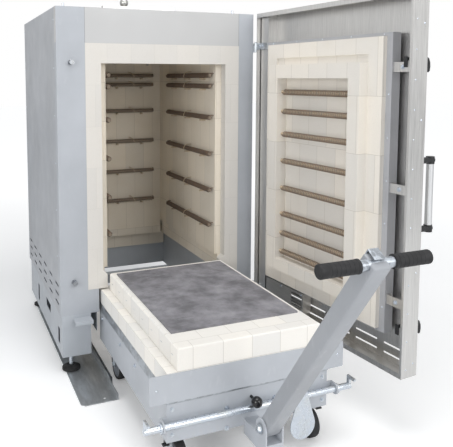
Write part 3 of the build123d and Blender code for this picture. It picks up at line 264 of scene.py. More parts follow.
def zinc_plate(name, colour):
    """Thin bright plating with a faint blue and straw bloom and small scuffs."""
    plate = Surface(name, colour, 0.25, 0.85)
    bloom = plate.grain(24.0, 4.0)
    straw = (colour[0], colour[1] * 0.95, colour[2] * 0.82, 1)
    body = plate.blend(plate.span(bloom, 0.0, 0.5, 0.45, 0.7), colour, straw)
    scuff = plate.span(plate.grain(210.0, 5.0, (1, 1, 0.2)), 0.0, 0.5, 0.58, 0.74)
    plate.set("Base Color", plate.blend(scuff, body, tuple(c * 0.66 for c in colour[:3]) + (1,)))
    plate.set("Roughness", plate.span(plate.grain(60.0), 0.18, 0.42))
    plate.relief((plate.grain(300.0, 2.0), 0.08, 0.0004))
    return plate.material


def rolled_plate(name, colour):
    """Bare rolled floor plate: dark scale, rubbed bright where wheels run."""
    plate = Surface(name, colour, 0.4, 0.9)
    scale_skin = plate.grain(14.0, 7.0, (1, 0.25, 1), 0.65)
    rubbed = tuple(min(1.0, c * 1.9) for c in colour[:3]) + (1,)
    body = plate.blend(plate.span(scale_skin, 0.0, 0.9, 0.42, 0.66), colour, rubbed)
    plate.set("Base Color", body)
    plate.set("Roughness", plate.span(scale_skin, 0.52, 0.28, 0.4, 0.66))
    plate.relief((plate.grain(75.0, 4.0), 0.16, 0.0008))
    return plate.material


def refractory_plate(name, colour):
    """Pressed silicon carbide: cloudy graphite grey with pale bloom and bright grains."""
    stone = Surface(name, colour, 0.72)
    cloud = stone.grain(9.0, 7.0, rough=0.65)
    pale = tuple(min(1.0, c * 1.55) for c in colour[:3]) + (1,)
    deep = tuple(c * 0.70 for c in colour[:3]) + (1,)
    body = stone.blend(stone.span(cloud, 0.0, 1.0, 0.36, 0.68), deep, pale)
    scratch = stone.span(stone.grain(70.0, 4.0, (0.12, 1, 1)), 0.0, 0.30, 0.60, 0.74)
    body = stone.blend(scratch, body, tuple(min(1.0, c * 2.0) for c in colour[:3]) + (1,))
    grains = stone.span(stone.cells(900.0)[0], 0.55, 0.0, 0.05, 0.30)
    body = stone.blend(grains, body, tuple(c * 0.45 for c in colour[:3]) + (1,))
    stone.set("Base Color", body)
    stone.set("Roughness", stone.span(cloud, 0.80, 0.58))
    stone.relief((stone.grain(240.0, 3.0), 0.22, 0.0007), (cloud, 0.08, 0.003))
    return stone.material


def oxidised_wire(name, colour):
    wire = Surface(name, colour, 0.62, 0.45)
    skin = wire.grain(85.0, 4.0)
    rust = (colour[0] * 1.7, colour[1] * 1.35, colour[2] * 1.1, 1)
    wire.set("Base Color", wire.blend(wire.span(skin, 0.0, 1.0), colour, rust))
    wire.set("Roughness", wire.span(skin, 0.5, 0.75))
    return wire.material


def fired_ceramic(name, colour):
    body = Surface(name, colour, 0.70)
    mark = body.grain(120.0, 4.0)
    dim = (colour[0] * 0.80, colour[1] * 0.76, colour[2] * 0.70, 1)
    body.set("Base Color", body.blend(body.span(mark, 0.0, 1.0), dim, colour))
    body.relief((mark, 0.15, 0.0006))
    return body.material


def moulded(name, colour, roughness, texture=260.0, depth=0.16):
    """Moulded plastic or rubber with a fine tool texture and grey handling bloom."""
    part = Surface(name, colour, roughness)
    bloom = part.span(part.grain(22.0, 5.0), 0.0, 0.5, 0.5, 0.8)
    part.set("Base Color", part.blend(bloom, colour, tuple(c * 1.9 + 0.006 for c in colour[:3]) + (1,)))
    part.set("Roughness", part.span(part.grain(48.0), roughness * 0.85, min(1.0, roughness * 1.2)))
    part.relief((part.grain(texture, 2.0), depth, 0.0005))
    return part.material


PAINT = powder_paint("cabinet_powder_coat", tone(178, 183, 189))
FASCIA_PAINT = powder_paint(
    "fascia_powder_coat", tone(174, 178, 184), lintel=(LINTEL_HALF, LINTEL_SILL, tone(190, 189, 187))
)
# Darker copy of the cabinet powder coat for the side panels: painted shade for the sides that face away from
# the key light.
SHADED_SIDE_PAINT = powder_paint("side_powder_coat_painted_shade", tone(168, 171, 176), 0.3)
BOGIE_PAINT = powder_paint("bogie_powder_coat", tone(183, 187, 193), 0.8)
TOW_PAINT = powder_paint("drawbar_powder_coat", tone(158, 161, 166), 1.0)
PAN_PAINT = powder_paint("door_pan_powder_coat", tone(176, 177, 181), 0.3)
# Near-black paint for the sheets behind the vent slots: painted shadow seen through the slots.
SHADOW_SHEET = powder_paint("vent_painted_shadow_paint", tone(46, 48, 52), 0.2)
LINING = masonry("chamber_firebrick", tone(230, 222, 208), 0.125, 0.1985, (0.0, -0.0765))
COLLAR = masonry(
    "collar_firebrick", tone(212, 209, 204), 0.124, 0.2060, (0.062, -0.0100),
    stain=0.12, joint=0.0007, contrast=0.45,
)
HEARTH = masonry("hearth_firebrick", tone(238, 236, 232), 0.1244, 0.0870, (0.0622, -0.0650), stain=0.14)
DOOR_BRICK = masonry("door_firebrick", tone(231, 227, 220), 0.127, 0.2466, (0.0, -0.1784), True, stain=0.22)
BOARD = fibre_board("insulation_fibre_board", tone(226, 221, 210))
STAINLESS = brushed("door_stainless", tone(218, 217, 215), (14, 14, 0.22), open_door=True)
STAINLESS_FITTING = brushed("fitting_stainless", tone(190, 189, 186), (0.3, 9, 9))
COVER_STAINLESS = brushed("cover_stainless", tone(208, 204, 198), (0.25, 9, 12), open_door=True)
GALVANISED = galvanised("hot_dip_zinc", tone(196, 202, 207))
TRAY_ZINC = galvanised("tray_zinc", tone(178, 183, 188), 30.0)
TUBE_ZINC = galvanised("cross_tube_zinc", tone(186, 192, 199), 90.0, (0.28, 0.5))
ZINC = zinc_plate("bright_zinc_plate", tone(206, 213, 222))
DULL_ZINC = zinc_plate("dull_zinc_plate", tone(158, 162, 168))
FLOOR_STEEL = rolled_plate("rolled_floor_plate", tone(166, 169, 171))
HEARTH_STONE = refractory_plate("silicon_carbide_hearth", tone(126, 125, 130))
WIRE = oxidised_wire("oxidised_heating_wire", tone(108, 100, 92))
DOOR_WIRE = oxidised_wire("door_heating_wire", tone(138, 133, 126))
CERAMIC = fired_ceramic("element_ceramic_body", tone(206, 190, 166))
TUBE_CLAY = fired_ceramic("element_tube_clay", tone(134, 122, 108))
RUBBER = moulded("black_foot_rubber", tone(32, 32, 33), 0.78)
TYRE = moulded("solid_tyre_rubber", tone(34, 34, 35), 0.72, 420.0, 0.2)
PLASTIC = moulded("black_moulded_plastic", tone(30, 31, 33), 0.46)
GRIP_RUBBER = moulded("grip_rubber", tone(26, 26, 28), 0.66, 520.0, 0.22)
KNOB = moulded("polished_knob_plastic", tone(16, 16, 18), 0.14, 60.0, 0.02)
ALUMINIUM = brushed("satin_aluminium", tone(226, 227, 228), (16, 16, 0.3), (0.30, 0.46), True, 0.25)
HUB = moulded("wheel_hub_nylon", tone(120, 124, 130), 0.5)

NODE_FINISH = {
    FASCIA_PAINT: "front_fascia",
    PAINT: "roof_panel rear_panel base_rails base_frame well_lining lock_catches",
    SHADED_SIDE_PAINT: "side_panels",
    BOGIE_PAINT: "front_panel bogie_frame tow_bracket",
    TOW_PAINT: "tiller",
    PAN_PAINT: "door_pan",
    COLLAR: "collar_bricks",
    LINING: "chamber_bricks",
    HEARTH: "hearth_bricks",
    DOOR_BRICK: "door_bricks",
    BOARD: "insulation_boards hearth_board",
    STAINLESS: "door_shell door_frame",
    COVER_STAINLESS: "terminal_cover",
    STAINLESS_FITTING: "exhaust_guide exhaust_slide thermocouple",
    GALVANISED: "guide_rails hinge_brackets door_hinge_leaves clamp_bosses rear_forks "
                "castor_fork_left castor_fork_right",
    TRAY_ZINC: "hearth_tray",
    TUBE_ZINC: "tiller_bar",
    ZINC: "foot_stems lock_shaft foot_pedal",
    DULL_ZINC: "latch_keepers",
    FLOOR_STEEL: "floor_plates",
    HEARTH_STONE: "hearth_plate",
    WIRE: "heating_coils",
    DOOR_WIRE: "door_coils",
    CERAMIC: "flue_tube element_hooks door_element_tubes",
    TUBE_CLAY: "element_tubes",
    RUBBER: "foot_pads door_lead",
    TYRE: "rear_wheel_left rear_wheel_right castor_wheel_left castor_wheel_right",
    PLASTIC: "door_handle_arms clamp_lever_lower clamp_lever_upper castor_brake_left castor_brake_right",
    GRIP_RUBBER: "hand_grips",
    KNOB: "pull_knob",
    ALUMINIUM: "door_grip",
}
for surface, names in NODE_FINISH.items():
    for name in names.split():
        node = nodes[name]
        if not node.material_slots:
            node.data.materials.append(surface)
        for place in node.material_slots:
            place.material = surface


# ------------------------------------------------------------------ workshop tools
def add_piece(name, bm, body, surface, sharp=35.0, stands_for=()):
    """Closes a bmesh into a named piece on its body."""
    bmesh.ops.remove_doubles(bm, verts=bm.verts[:], dist=1e-6)
    bmesh.ops.recalc_face_normals(bm, faces=bm.faces[:])
    mesh = bpy.data.meshes.new(name)
    bm.to_mesh(mesh)
    bm.free()
    mesh.materials.append(surface)
    mesh.shade_smooth()
    mesh.set_sharp_from_angle(angle=math.radians(sharp))
    piece = bpy.data.objects.new(name, mesh)
    bpy.context.scene.collection.objects.link(piece)
    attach(piece, body)
    if stands_for:
        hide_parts(*stands_for)
    return piece


def aim(point, direction):
    """Matrix that puts a piece made along +Z at a point, along a direction."""
    turn = Vector((0, 0, 1)).rotation_difference(Vector(direction).normalized())
    return Matrix.Translation(Vector(point)) @ turn.to_matrix().to_4x4()


def bar(bm, start, end, radius, sides=20, tip=None):
    start, end = Vector(start), Vector(end)
    run = end - start
    place = aim((start + end) / 2, run)
    bmesh.ops.create_cone(
        bm, cap_ends=True, segments=sides, radius1=radius, radius2=radius if tip is None else tip,
        depth=run.length, matrix=place,
    )


def slab(bm, low, high, edge=0.0, rows=2):
    low, high = Vector(low), Vector(high)
    place = Matrix.Translation((low + high) / 2) @ Matrix.Diagonal((*(high - low), 1))
    made = bmesh.ops.create_cube(bm, size=1.0, matrix=place)
    if edge:
        edges = list({e for v in made["verts"] for e in v.link_edges})
        bmesh.ops.bevel(bm, geom=edges, offset=edge, segments=rows, profile=0.5, affect="EDGES", material=-1)


def turned(bm, profile, place, steps=32):
    """Spins a (radius, height) profile about +Z, then puts it where the matrix says."""
    held = set(bm.verts)
    points = [bm.verts.new((r, 0, h)) for r, h in profile]
    edges = [bm.edges.new(pair) for pair in zip(points, points[1:])]
    bmesh.ops.spin(
        bm, geom=points + edges, cent=(0, 0, 0), axis=(0, 0, 1),
        angle=2 * math.pi, steps=steps, use_merge=True,
    )
    bmesh.ops.transform(bm, matrix=place, verts=[v for v in bm.verts if v not in held])


def swept(bm, stations, sides=14):
    """Skin through (centre, radius) stations, closed at both ends."""
    rings = []
    for n, (centre, radius) in enumerate(stations):
        before = Vector(stations[max(n - 1, 0)][0])
        after = Vector(stations[min(n + 1, len(stations) - 1)][0])
        ring = bmesh.ops.create_circle(bm, segments=sides, radius=radius, matrix=aim(centre, after - before))
        rings.append(ring["verts"])
    for first, second in zip(rings, rings[1:]):
        loops = [
            list({e for v in ring for e in v.link_edges if e.other_vert(v) in ring})
            for ring in (first, second)
        ]
        bmesh.ops.bridge_loops(bm, edges=loops[0] + loops[1])
    for ring in (rings[0], rings[-1]):
        bm.faces.new(ring)


def hex_bolt(bm, seat, outward, across=0.013, head=0.006, washer=True):
    seat, outward = Vector(seat), Vector(outward).normalized()
    start = seat
    if washer:
        bar(bm, seat, seat + outward * 0.0016, across * 0.82, 20)
        start = seat + outward * 0.0016
    bar(bm, start, start + outward * head, across / 2 * 1.15, 6, across / 2 * 1.10)
    bar(bm, start + outward * head, start + outward * (head + 0.0025), across * 0.28, 12)


def rivet(bm, seat, outward, radius=0.0045):
    seat, outward = Vector(seat), Vector(outward).normalized()
    dome = [
        (0.0, radius * 0.62), (radius * 0.5, radius * 0.54), (radius * 0.86, radius * 0.28),
        (radius, 0.0), (0.0, 0.0),
    ]
    turned(bm, dome, aim(seat, outward), 12)


def winding(length, radius, wire, pitch, sides=6, steps=12):
    """Mesh of one close-wound heating coil along +X from the origin, made turn by turn from one turn."""
    turn = bmesh.new()
    place = Matrix.Translation((0, radius, 0))
    ring = bmesh.ops.create_circle(turn, segments=sides, radius=wire, matrix=place)["verts"]
    edges = list({e for v in ring for e in v.link_edges})
    bmesh.ops.spin(
        turn, geom=ring + edges, cent=(0, 0, 0), axis=(1, 0, 0), dvec=(pitch / steps, 0, 0),
        angle=2 * math.pi, steps=steps, use_duplicate=False,
    )
    one = bpy.data.meshes.new("one_turn")
    turn.to_mesh(one)
    turn.free()
    coil = bmesh.new()
    for n in range(int(length / pitch)):
        stack(coil, one, Matrix.Translation((n * pitch, 0, 0)))
    bmesh.ops.remove_doubles(coil, verts=coil.verts[:], dist=1e-5)
    made = bpy.data.meshes.new("winding")
    coil.to_mesh(made)
    coil.free()
    return made


def stack(bm, mesh, place):
    """Adds a copy of a mesh to a bmesh at a place."""
    copy = mesh.copy()
    copy.transform(place)
    bm.from_mesh(copy)
    bpy.data.meshes.remove(copy)


def open_leaf(bm):
    """Turns what was made on the shut door to where the door stands."""
    bmesh.ops.rotate(bm, verts=bm.verts[:], cent=HINGE, matrix=Matrix.Rotation(DOOR_OPEN, 3, "Z"))


def lean_drawbar(bm):
    place = Matrix.Translation(TOW_PIVOT) @ Matrix.Rotation(TOW_LEAN, 4, "X")
    bmesh.ops.transform(bm, matrix=place, verts=bm.verts[:])


# ------------------------------------------------------------------ heating elements
def wind_elements():
    side = bmesh.new()
    back = bmesh.new()
    leads = bmesh.new()
    long_coil = winding(0.652, 0.0118, 0.0023, 0.0115)
    short_coil = winding(0.492, 0.0118, 0.0023, 0.0115)
    quarter = Matrix.Rotation(math.pi / 2, 4, "Z")
    for level in LEVELS:
        for x in (-0.284, 0.284):
            stack(side, long_coil, Matrix.Translation((x, 0.074, level)) @ quarter)
            wall = 0.312 if x > 0 else -0.312
            for y in (0.072, 0.728):
                bar(leads, (x, y, level + 0.011), (wall, y, level + 0.011), 0.0022, 10)
        stack(back, short_coil, Matrix.Translation((-0.246, 0.908, level)))
        for x in (-0.248, 0.248):
            bar(leads, (x, 0.908, level + 0.011), (x, 0.934, level + 0.011), 0.0022, 10)
    add_piece("wound_side_elements", side, "furnace", WIRE, 60, ("heating_coils",))
    add_piece("wound_rear_elements", back, "furnace", DOOR_WIRE, 60, ("heating_coils",))
    add_piece("element_tails", leads, "furnace", WIRE)
    door = bmesh.new()
    tails = bmesh.new()
    door_coil = winding(0.472, 0.0126, 0.0024, 0.0118)
    for level in DOOR_LEVELS:
        stack(door, door_coil, Matrix.Translation((-0.236, 0.007, level)))
        for x in (-0.238, 0.238):
            bar(tails, (x, 0.007, level - 0.012), (x, -0.019, level - 0.012), 0.0022, 10)
    open_leaf(door)
    open_leaf(tails)
    add_piece("wound_door_elements", door, "door", DOOR_WIRE, 60, ("door_coils",))
    add_piece("door_element_tails", tails, "door", DOOR_WIRE)


def element_staples():
    """Small pale wire hooks that hold each winding to its wall."""
    staples = bmesh.new()
    for level in LEVELS:
        for side in (-1, 1):
            path = (
                (0.307, -0.016, 0.024), (0.288, -0.010, 0.022), (0.270, 0.0, 0.0145),
                (0.2675, 0.010, 0.0), (0.271, 0.016, -0.010),
            )
            swept(staples, [((side * x, 0.400 + y, level + z), 0.0024) for x, y, z in path], 8)
            rear = (
                (-0.016, 0.931, 0.024), (-0.010, 0.912, 0.022), (0.0, 0.894, 0.0145),
                (0.010, 0.8915, 0.0), (0.016, 0.895, -0.010),
            )
            swept(staples, [((side * 0.100 + x, y, level + z), 0.0024) for x, y, z in rear], 8)
    add_piece("element_staples", staples, "furnace", CERAMIC)


# ------------------------------------------------------------------ wheels
def shod_wheel(name, body, centre, radius, node):
    """Solid tyre with a rounded tread on a webbed hub."""
    across = Matrix.Translation(Vector(centre)) @ Matrix.Rotation(math.pi / 2, 4, "Y")
    rim = radius - 0.014
    tread = bmesh.new()
    half = TYRE_HALF
    turned(tread, [
        (rim, -half + 0.001), (radius - 0.005, -half), (radius - 0.0018, -half + 0.003),
        (radius - 0.0003, -half + 0.008), (radius, 0.0), (radius - 0.0003, half - 0.008),
        (radius - 0.0018, half - 0.003), (radius - 0.005, half), (rim, half - 0.001), (rim, -half + 0.001),
    ], across, 56)
    add_piece(name + "_tread", tread, body, TYRE, 40, (node,))
    hub = bmesh.new()
    bore = AXLE_BORE
    turned(hub, [
        (bore, -0.020), (0.014, -0.020), (0.0155, -0.018), (0.016, -0.009), (rim - 0.010, -0.008),
        (rim - 0.006, -0.017), (rim, -0.0175), (rim, 0.0175), (rim - 0.006, 0.017), (rim - 0.010, 0.008),
        (0.016, 0.009), (0.0155, 0.018), (0.014, 0.020), (bore, 0.020), (bore, -0.020),
    ], across, 48)
    add_piece(name + "_hub", hub, body, HUB, 35, (node,))


def fit_wheels():
    for side, word in ((-1, "left"), (1, "right")):
        x, y, radius = REAR_WHEEL
        node = "rear_wheel_" + word
        shod_wheel("rear_" + word, node, (side * x, y, radius), radius, node)
        x, y, radius = side * CASTOR[0], CASTOR[1] - CASTOR_TRAIL, CASTOR[2]
        node = "castor_wheel_" + word
        shod_wheel("castor_" + word, node, (x, y, radius), radius, node)
        nuts = bmesh.new()
        for reach in (-1, 1):
            hex_bolt(nuts, (x + reach * 0.034, y, radius), (reach, 0, 0), 0.012, 0.003, False)
        add_piece("castor_axle_nuts_" + word, nuts, "castor_" + word, ZINC)


# ------------------------------------------------------------------ door furniture
def door_furniture():
    arms = bmesh.new()
    for low in HANDLE_ARMS:
        slab(arms, (-0.528, DOOR_FACE - 0.010, low - 0.004), (-0.502, DOOR_FACE, low + 0.034), 0.004, 3)
        reach = ((0.004, 0.0135), (0.040, 0.0130), (0.062, 0.0138), (0.080, 0.0152), (0.0915, 0.0120))
        swept(arms, [((HANDLE_X, DOOR_FACE - out, low + 0.015), radius) for out, radius in reach], 20)
        bar(arms, (HANDLE_X, DOOR_FACE - 0.075, low), (HANDLE_X, DOOR_FACE - 0.075, low + 0.030), 0.0172, 28)
    open_leaf(arms)
    add_piece("moulded_handle_arms", arms, "door", PLASTIC, 40, ("door_handle_arms",))

    marks = bmesh.new()
    for z in [0.300 + 0.118 * n for n in range(13)]:
        rivet(marks, (-0.547, -0.030, z), (-1, 0, 0), 0.0038)
    for z in (0.320, 0.700, 1.320, 1.700):
        rivet(marks, (-0.547, -0.070, z), (-1, 0, 0), 0.0045)
    for x in [-0.46 + 0.115 * n for n in range(9)]:
        rivet(marks, (x, DOOR_FACE, 1.806), (0, -1, 0), 0.0038)
        rivet(marks, (x, DOOR_FACE, 0.300 + 0.085), (0, -1, 0), 0.0038)
    open_leaf(marks)
    add_piece("door_rivets", marks, "door", ZINC)

    screws = bmesh.new()
    for x in (0.122, 0.288):
        for z in (0.310, 0.394):
            hex_bolt(screws, (x + 0.003, -0.032, z), (0, 1, 0), 0.008, 0.003)
    for z in BRACKET_HEIGHTS:
        hex_bolt(screws, (-0.478, -0.034, z), (0, 1, 0), 0.012, 0.005)
        hex_bolt(screws, (-0.520, -0.034, z), (0, 1, 0), 0.010, 0.004)
    for z in HINGE_HEIGHTS:
        for dx in (0.448, 0.476):
            hex_bolt(screws, (dx, -0.008, z), (0, 1, 0), 0.010, 0.004)
    for x in [-0.380 + 0.190 * n for n in range(5)]:
        for z in (0.4175, 1.6655):
            rivet(screws, (x, -0.028, z), (0, 1, 0), 0.004)
    for z in [0.520 + 0.180 * n for n in range(6)]:
        for x in (-0.413, 0.413):
            rivet(screws, (x, -0.028, z), (0, 1, 0), 0.004)
    open_leaf(screws)
    add_piece("door_screws", screws, "door", ZINC)

    for word, z in CLAMP_HEIGHTS.items():
        lever = bmesh.new()
        x, tip = -0.505, DOOR_FACE - 0.016
        bar(lever, (x, tip - 0.024, z), (x, -0.022, z), 0.007, 20)
        hook = (
            (0.006, 0.004, 0.010), (0.018, 0.003, 0.0115), (0.028, -0.004, 0.0118), (0.034, -0.016, 0.0108),
            (0.036, -0.030, 0.0100), (0.034, -0.046, 0.0098), (0.032, -0.0505, 0.0070),
        )
        swept(lever, [((x, tip - out, z + up), radius) for out, up, radius in hook], 18)
        boss = [
            (0.007, 0.0), (0.0136, 0.0), (0.0140, 0.0012), (0.0140, 0.0066), (0.0130, 0.0075),
            (0.007, 0.0075), (0.007, 0.0),
        ]
        turned(lever, boss, aim((x, tip - 0.0005, z), (0, -1, 0)), 28)
        slab(lever, (x - 0.009, -0.022, z - 0.034), (x + 0.009, -0.017, z + 0.009), 0.0015, 2)
        open_leaf(lever)
        node = "clamp_lever_" + word
        add_piece("clamp_lever_moulded_" + word, lever, word + "_clamp", PLASTIC, 40, (node,))


# ------------------------------------------------------------------ drawbar
def dress_drawbar():
    beam = bmesh.new()
    slab(beam, (-0.030, -0.030, -0.015), (0.030, 0.030, TOW_LENGTH + 0.0150), 0.0065, 4)
    lean_drawbar(beam)
    add_piece("drawbar_box_tube", beam, "tiller", TOW_PAINT, 30, ("tiller",))

    clamp = bmesh.new()
    slab(clamp, (-0.018, 0.030, TOW_LENGTH - 0.062), (0.018, 0.034, TOW_LENGTH + 0.026), 0.0012, 2)
    slab(clamp, (-0.018, -0.004, TOW_LENGTH + 0.0225), (0.018, 0.034, TOW_LENGTH + 0.0262), 0.0012, 2)
    bar(clamp, (-0.185, 0, TOW_LENGTH), (0.185, 0, TOW_LENGTH), 0.016, 36)
    hex_bolt(clamp, (0, 0.034, TOW_LENGTH - 0.046), (0, 1, 0), 0.012, 0.006)
    lean_drawbar(clamp)
    add_piece("cross_tube_and_strap", clamp, "tiller", TUBE_ZINC, 35, ("tiller_bar",))

    grips = bmesh.new()
    for side in (-1, 1):
        profile = [(0.0162, 0.0), (0.0190, 0.0), (0.0212, 0.0022), (0.0210, 0.006)]
        for n in range(7):
            h = 0.014 + 0.0145 * n
            profile += [(0.0204, h - 0.0030), (0.0196, h - 0.0022), (0.0196, h - 0.0008), (0.0204, h)]
        profile += [(0.0206, 0.119), (0.0210, 0.124), (0.0205, 0.1275), (0.0180, 0.1298), (0.0, 0.1300)]
        turned(grips, profile, aim((side * 0.057, 0, TOW_LENGTH), (side, 0, 0)), 32)
    lean_drawbar(grips)
    add_piece("ribbed_hand_grips", grips, "tiller", GRIP_RUBBER, 40, ("hand_grips",))

    pins = bmesh.new()
    for side in (-1, 1):
        hex_bolt(pins, (side * 0.0425, TOW_PIVOT.y, TOW_PIVOT.z), (side, 0, 0), 0.024, 0.009)
        for z in (0.125, 0.205):
            hex_bolt(pins, (side * 0.105, -0.938, z + 0.02), (0, -1, 0), 0.012, 0.005)
    add_piece("drawbar_bolts", pins, "bogie", ZINC)

    knob = bmesh.new()
    turned(knob, [
        (0.0, 0.022), (0.0060, 0.0212), (0.0115, 0.0188), (0.0165, 0.0146), (0.0202, 0.0088),
        (0.0219, 0.0020), (0.0214, -0.0052), (0.0188, -0.0115), (0.0142, -0.0168), (0.0100, -0.0196),
        (0.0100, -0.0240), (0.0060, -0.0250), (0.0060, -0.0800), (0.0, -0.0800),
    ], aim((0, -0.985, 0.252), (0, -1, 0)), 32)
    add_piece("turned_ball_knob", knob, "plunger", KNOB, 40, ("pull_knob",))


# ------------------------------------------------------------------ cabinet trim
def trim_cabinet():
    # Dark sheets just inside the side panels' vent slots: painted shadow, so that the slots read dark.
    slot_shadow = bmesh.new()
    slab(slot_shadow, (-0.5555, 0.048, 0.318), (-0.5545, 1.060, 0.470))
    slab(slot_shadow, (0.5005, 0.048, 0.318), (0.5015, 1.060, 0.470))
    add_piece("vent_painted_shadow_sheets", slot_shadow, "furnace", SHADOW_SHEET)

    studs = bmesh.new()
    for x, y in ((-0.500, 0.120), (0.440, 0.120), (-0.500, 1.030), (0.440, 1.030)):
        hex_bolt(studs, (x, y, ROOF), (0, 0, 1), 0.020, 0.010)
        bar(studs, (x, y, 1.8416), (x, y, 1.860), 0.006, 16)
    for dx in (-0.180, 0.180):
        for dy in (-0.062, 0.062):
            hex_bolt(studs, (FLUE[0] + dx, FLUE[1] + dy * 1.05, FLUE[2]), (0, 0, 1), 0.009, 0.003)
    add_piece("roof_studs", studs, "furnace", ZINC)

    screws = bmesh.new()
    for z in [0.360 + 0.235 * n for n in range(7)]:
        rivet(screws, (-0.560, 0.064, z), (-1, 0, 0), 0.0042)
        rivet(screws, (0.508, 0.064, z), (1, 0, 0), 0.0042)
        rivet(screws, (-0.560, 1.074, z), (-1, 0, 0), 0.0042)
        rivet(screws, (0.508, 1.074, z), (1, 0, 0), 0.0042)
    for x in [-0.520 + 0.165 * n for n in range(7)]:
        rivet(screws, (x, 1.091, 1.806), (0, 1, 0), 0.0042)
        rivet(screws, (x, 1.091, 0.320), (0, 1, 0), 0.0042)
        rivet(screws, (x, 1.074, ROOF), (0, 0, 1), 0.0042)
    add_piece("casing_rivets", screws, "furnace", ZINC)

    seats = bmesh.new()
    for z in CLAMP_HEIGHTS.values():
        bar(seats, (KEEPER_X, 0.0, z), (KEEPER_X, -0.0035, z), 0.0140, 28)
        bar(seats, (KEEPER_X, -0.0035, z), (KEEPER_X, -0.0100, z), 0.0105, 6)
    for z in (0.3065, 1.6335):
        hex_bolt(seats, (0.508, 0.030, z), (1, 0, 0), 0.008, 0.003, False)
    add_piece("keeper_nuts", seats, "furnace", DULL_ZINC)


def trim_bogie():
    wire = bmesh.new()
    for side in (-1, 1):
        for n in range(8):
            y = -0.890 + 0.118 * n
            x = side * 0.3112
            path = [
                (side * 0.3100, y - 0.009, 0.456), (x, y - 0.009, 0.4565), (x + side * 0.0006, y, 0.4575),
                (x, y + 0.009, 0.4565), (side * 0.3100, y + 0.009, 0.456),
            ]
            swept(wire, [(point, 0.0010) for point in path], 6)
    add_piece("hearth_staples", wire, "bogie", FLOOR_STEEL)

    bolts = bmesh.new()
    for x in (-0.330, 0.330):
        hex_bolt(bolts, (x, -0.938, 0.170), (0, -1, 0), 0.011, 0.005)
        hex_bolt(bolts, (x, -0.938, 0.268), (0, -1, 0), 0.011, 0.005)
    for x in (-0.395, 0.395):
        rivet(bolts, (x, -0.949, 0.356), (0, -1, 0), 0.0045)
    for side in (-1, 1):
        for y in (-0.780, -0.560, -0.340, -0.020):
            hex_bolt(bolts, (side * 0.352, y, 0.268), (side, 0, 0), 0.011, 0.005)
        collar = [
            (0.0132, 0.0), (0.0190, 0.0), (0.0195, 0.001), (0.0195, 0.006), (0.0185, 0.007),
            (0.0132, 0.007), (0.0132, 0.0),
        ]
        turned(bolts, collar, aim((side * 0.3805, -0.962, 0.220), (side, 0, 0)), 24)
    add_piece("bogie_bolts", bolts, "bogie", ZINC)


wind_elements()
element_staples()
fit_wheels()
door_furniture()
dress_drawbar()
trim_cabinet()
trim_bogie()


# ------------------------------------------------------------------ stage, light and camera
def lay_floor():
    ground = bmesh.new()
    bmesh.ops.create_grid(ground, x_segments=2, y_segments=2, size=30.0)
    mesh = bpy.data.meshes.new("studio_floor")
    ground.to_mesh(mesh)
    ground.free()
    floor = bpy.data.objects.new("studio_floor", mesh)
    bpy.context.scene.collection.objects.link(floor)
    pale = Surface("studio_floor_paper", (0.95, 0.95, 0.95, 1), 0.9)
    tree = pale.tree
    glow = tree.nodes.new("ShaderNodeEmission")
    light = tree.nodes.new("ShaderNodeLightPath")
    share = tree.nodes.new("ShaderNodeMath")
    share.operation = "MULTIPLY"
    spread = pale.node("ShaderNodeVectorMath", {0: pale.place}, operation="LENGTH").outputs["Value"]
    tree.links.new(pale.span(spread, 0.17, 0.50, 1.8, 5.5), share.inputs[1])
    tree.links.new(light.outputs["Is Camera Ray"], share.inputs[0])
    tree.links.new(share.outputs[0], glow.inputs["Strength"])
    both = tree.nodes.new("ShaderNodeAddShader")
    tree.links.new(pale.shader.outputs[0], both.inputs[0])
    tree.links.new(glow.outputs[0], both.inputs[1])
    tree.links.new(both.outputs[0], tree.nodes["Material Output"].inputs["Surface"])
    mesh.materials.append(pale.material)
    floor.location.z = -0.0005


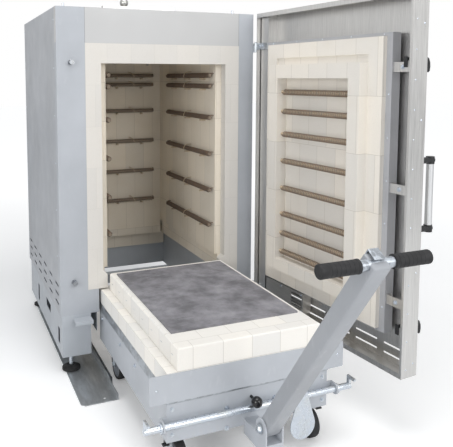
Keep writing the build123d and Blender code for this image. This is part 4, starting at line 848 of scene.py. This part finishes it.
def light_studio():
    world = bpy.data.worlds.new("studio")
    bpy.context.scene.world = world
    world.use_nodes = True
    tree = world.node_tree
    sky = tree.nodes["Background"]
    sky.inputs["Color"].default_value = (0.96, 0.98, 1.0, 1)
    sky.inputs["Strength"].default_value = 0.50
    white = tree.nodes.new("ShaderNodeBackground")
    white.inputs["Color"].default_value = (1, 1, 1, 1)
    rays = tree.nodes.new("ShaderNodeLightPath")
    mix = tree.nodes.new("ShaderNodeMixShader")
    mirrored = tree.nodes.new("ShaderNodeMath")
    mirrored.operation = "MULTIPLY"
    mirrored.inputs[1].default_value = 0.7
    seen = tree.nodes.new("ShaderNodeMath")
    seen.operation = "MAXIMUM"
    clear = tree.nodes.new("ShaderNodeMath")
    clear.operation = "MAXIMUM"
    tree.links.new(rays.outputs["Is Glossy Ray"], mirrored.inputs[0])
    tree.links.new(rays.outputs["Is Camera Ray"], seen.inputs[0])
    tree.links.new(mirrored.outputs[0], seen.inputs[1])
    tree.links.new(seen.outputs[0], clear.inputs[0])
    tree.links.new(rays.outputs["Is Transmission Ray"], clear.inputs[1])
    tree.links.new(clear.outputs[0], mix.inputs[0])
    tree.links.new(sky.outputs[0], mix.inputs[1])
    tree.links.new(white.outputs[0], mix.inputs[2])
    tree.links.new(mix.outputs[0], tree.nodes["World Output"].inputs["Surface"])
    lamps = (
        ("key_softbox", (1.8, -6.4, 3.4), (0.0, -0.3, 0.7), 3.4, 150.0),
        ("top_softbox", (-0.3, -1.0, 4.8), (0.0, -0.5, 0.5), 3.0, 78.0),
        ("left_softbox", (-4.4, -3.4, 2.2), (0.3, 0.0, 0.9), 2.8, 85.0),
    )
    for name, spot, target, size, power in lamps:
        lamp = bpy.data.lights.new(name, "AREA")
        lamp.shape = "DISK"
        lamp.size = size
        lamp.energy = power
        holder = bpy.data.objects.new(name, lamp)
        holder.location = spot
        holder.rotation_euler = (Vector(target) - Vector(spot)).to_track_quat("-Z", "Y").to_euler()
        bpy.context.scene.collection.objects.link(holder)


def set_camera():
    view = bpy.data.cameras.new("studio_camera")
    view.sensor_width = 36.0
    view.lens = 47.84
    view.shift_x = 0.10
    view.shift_y = -0.20
    view.clip_end = 100.0
    camera = bpy.data.objects.new("studio_camera", view)
    camera.location = (-1.0940, -2.9158, 1.4847)
    camera.rotation_euler = (math.radians(90 - 5.162), 0.0, math.radians(-22.033))
    bpy.context.scene.collection.objects.link(camera)
    bpy.context.scene.camera = camera


lay_floor()
light_studio()
set_camera()
bpy.context.scene.view_settings.view_transform = "Standard"
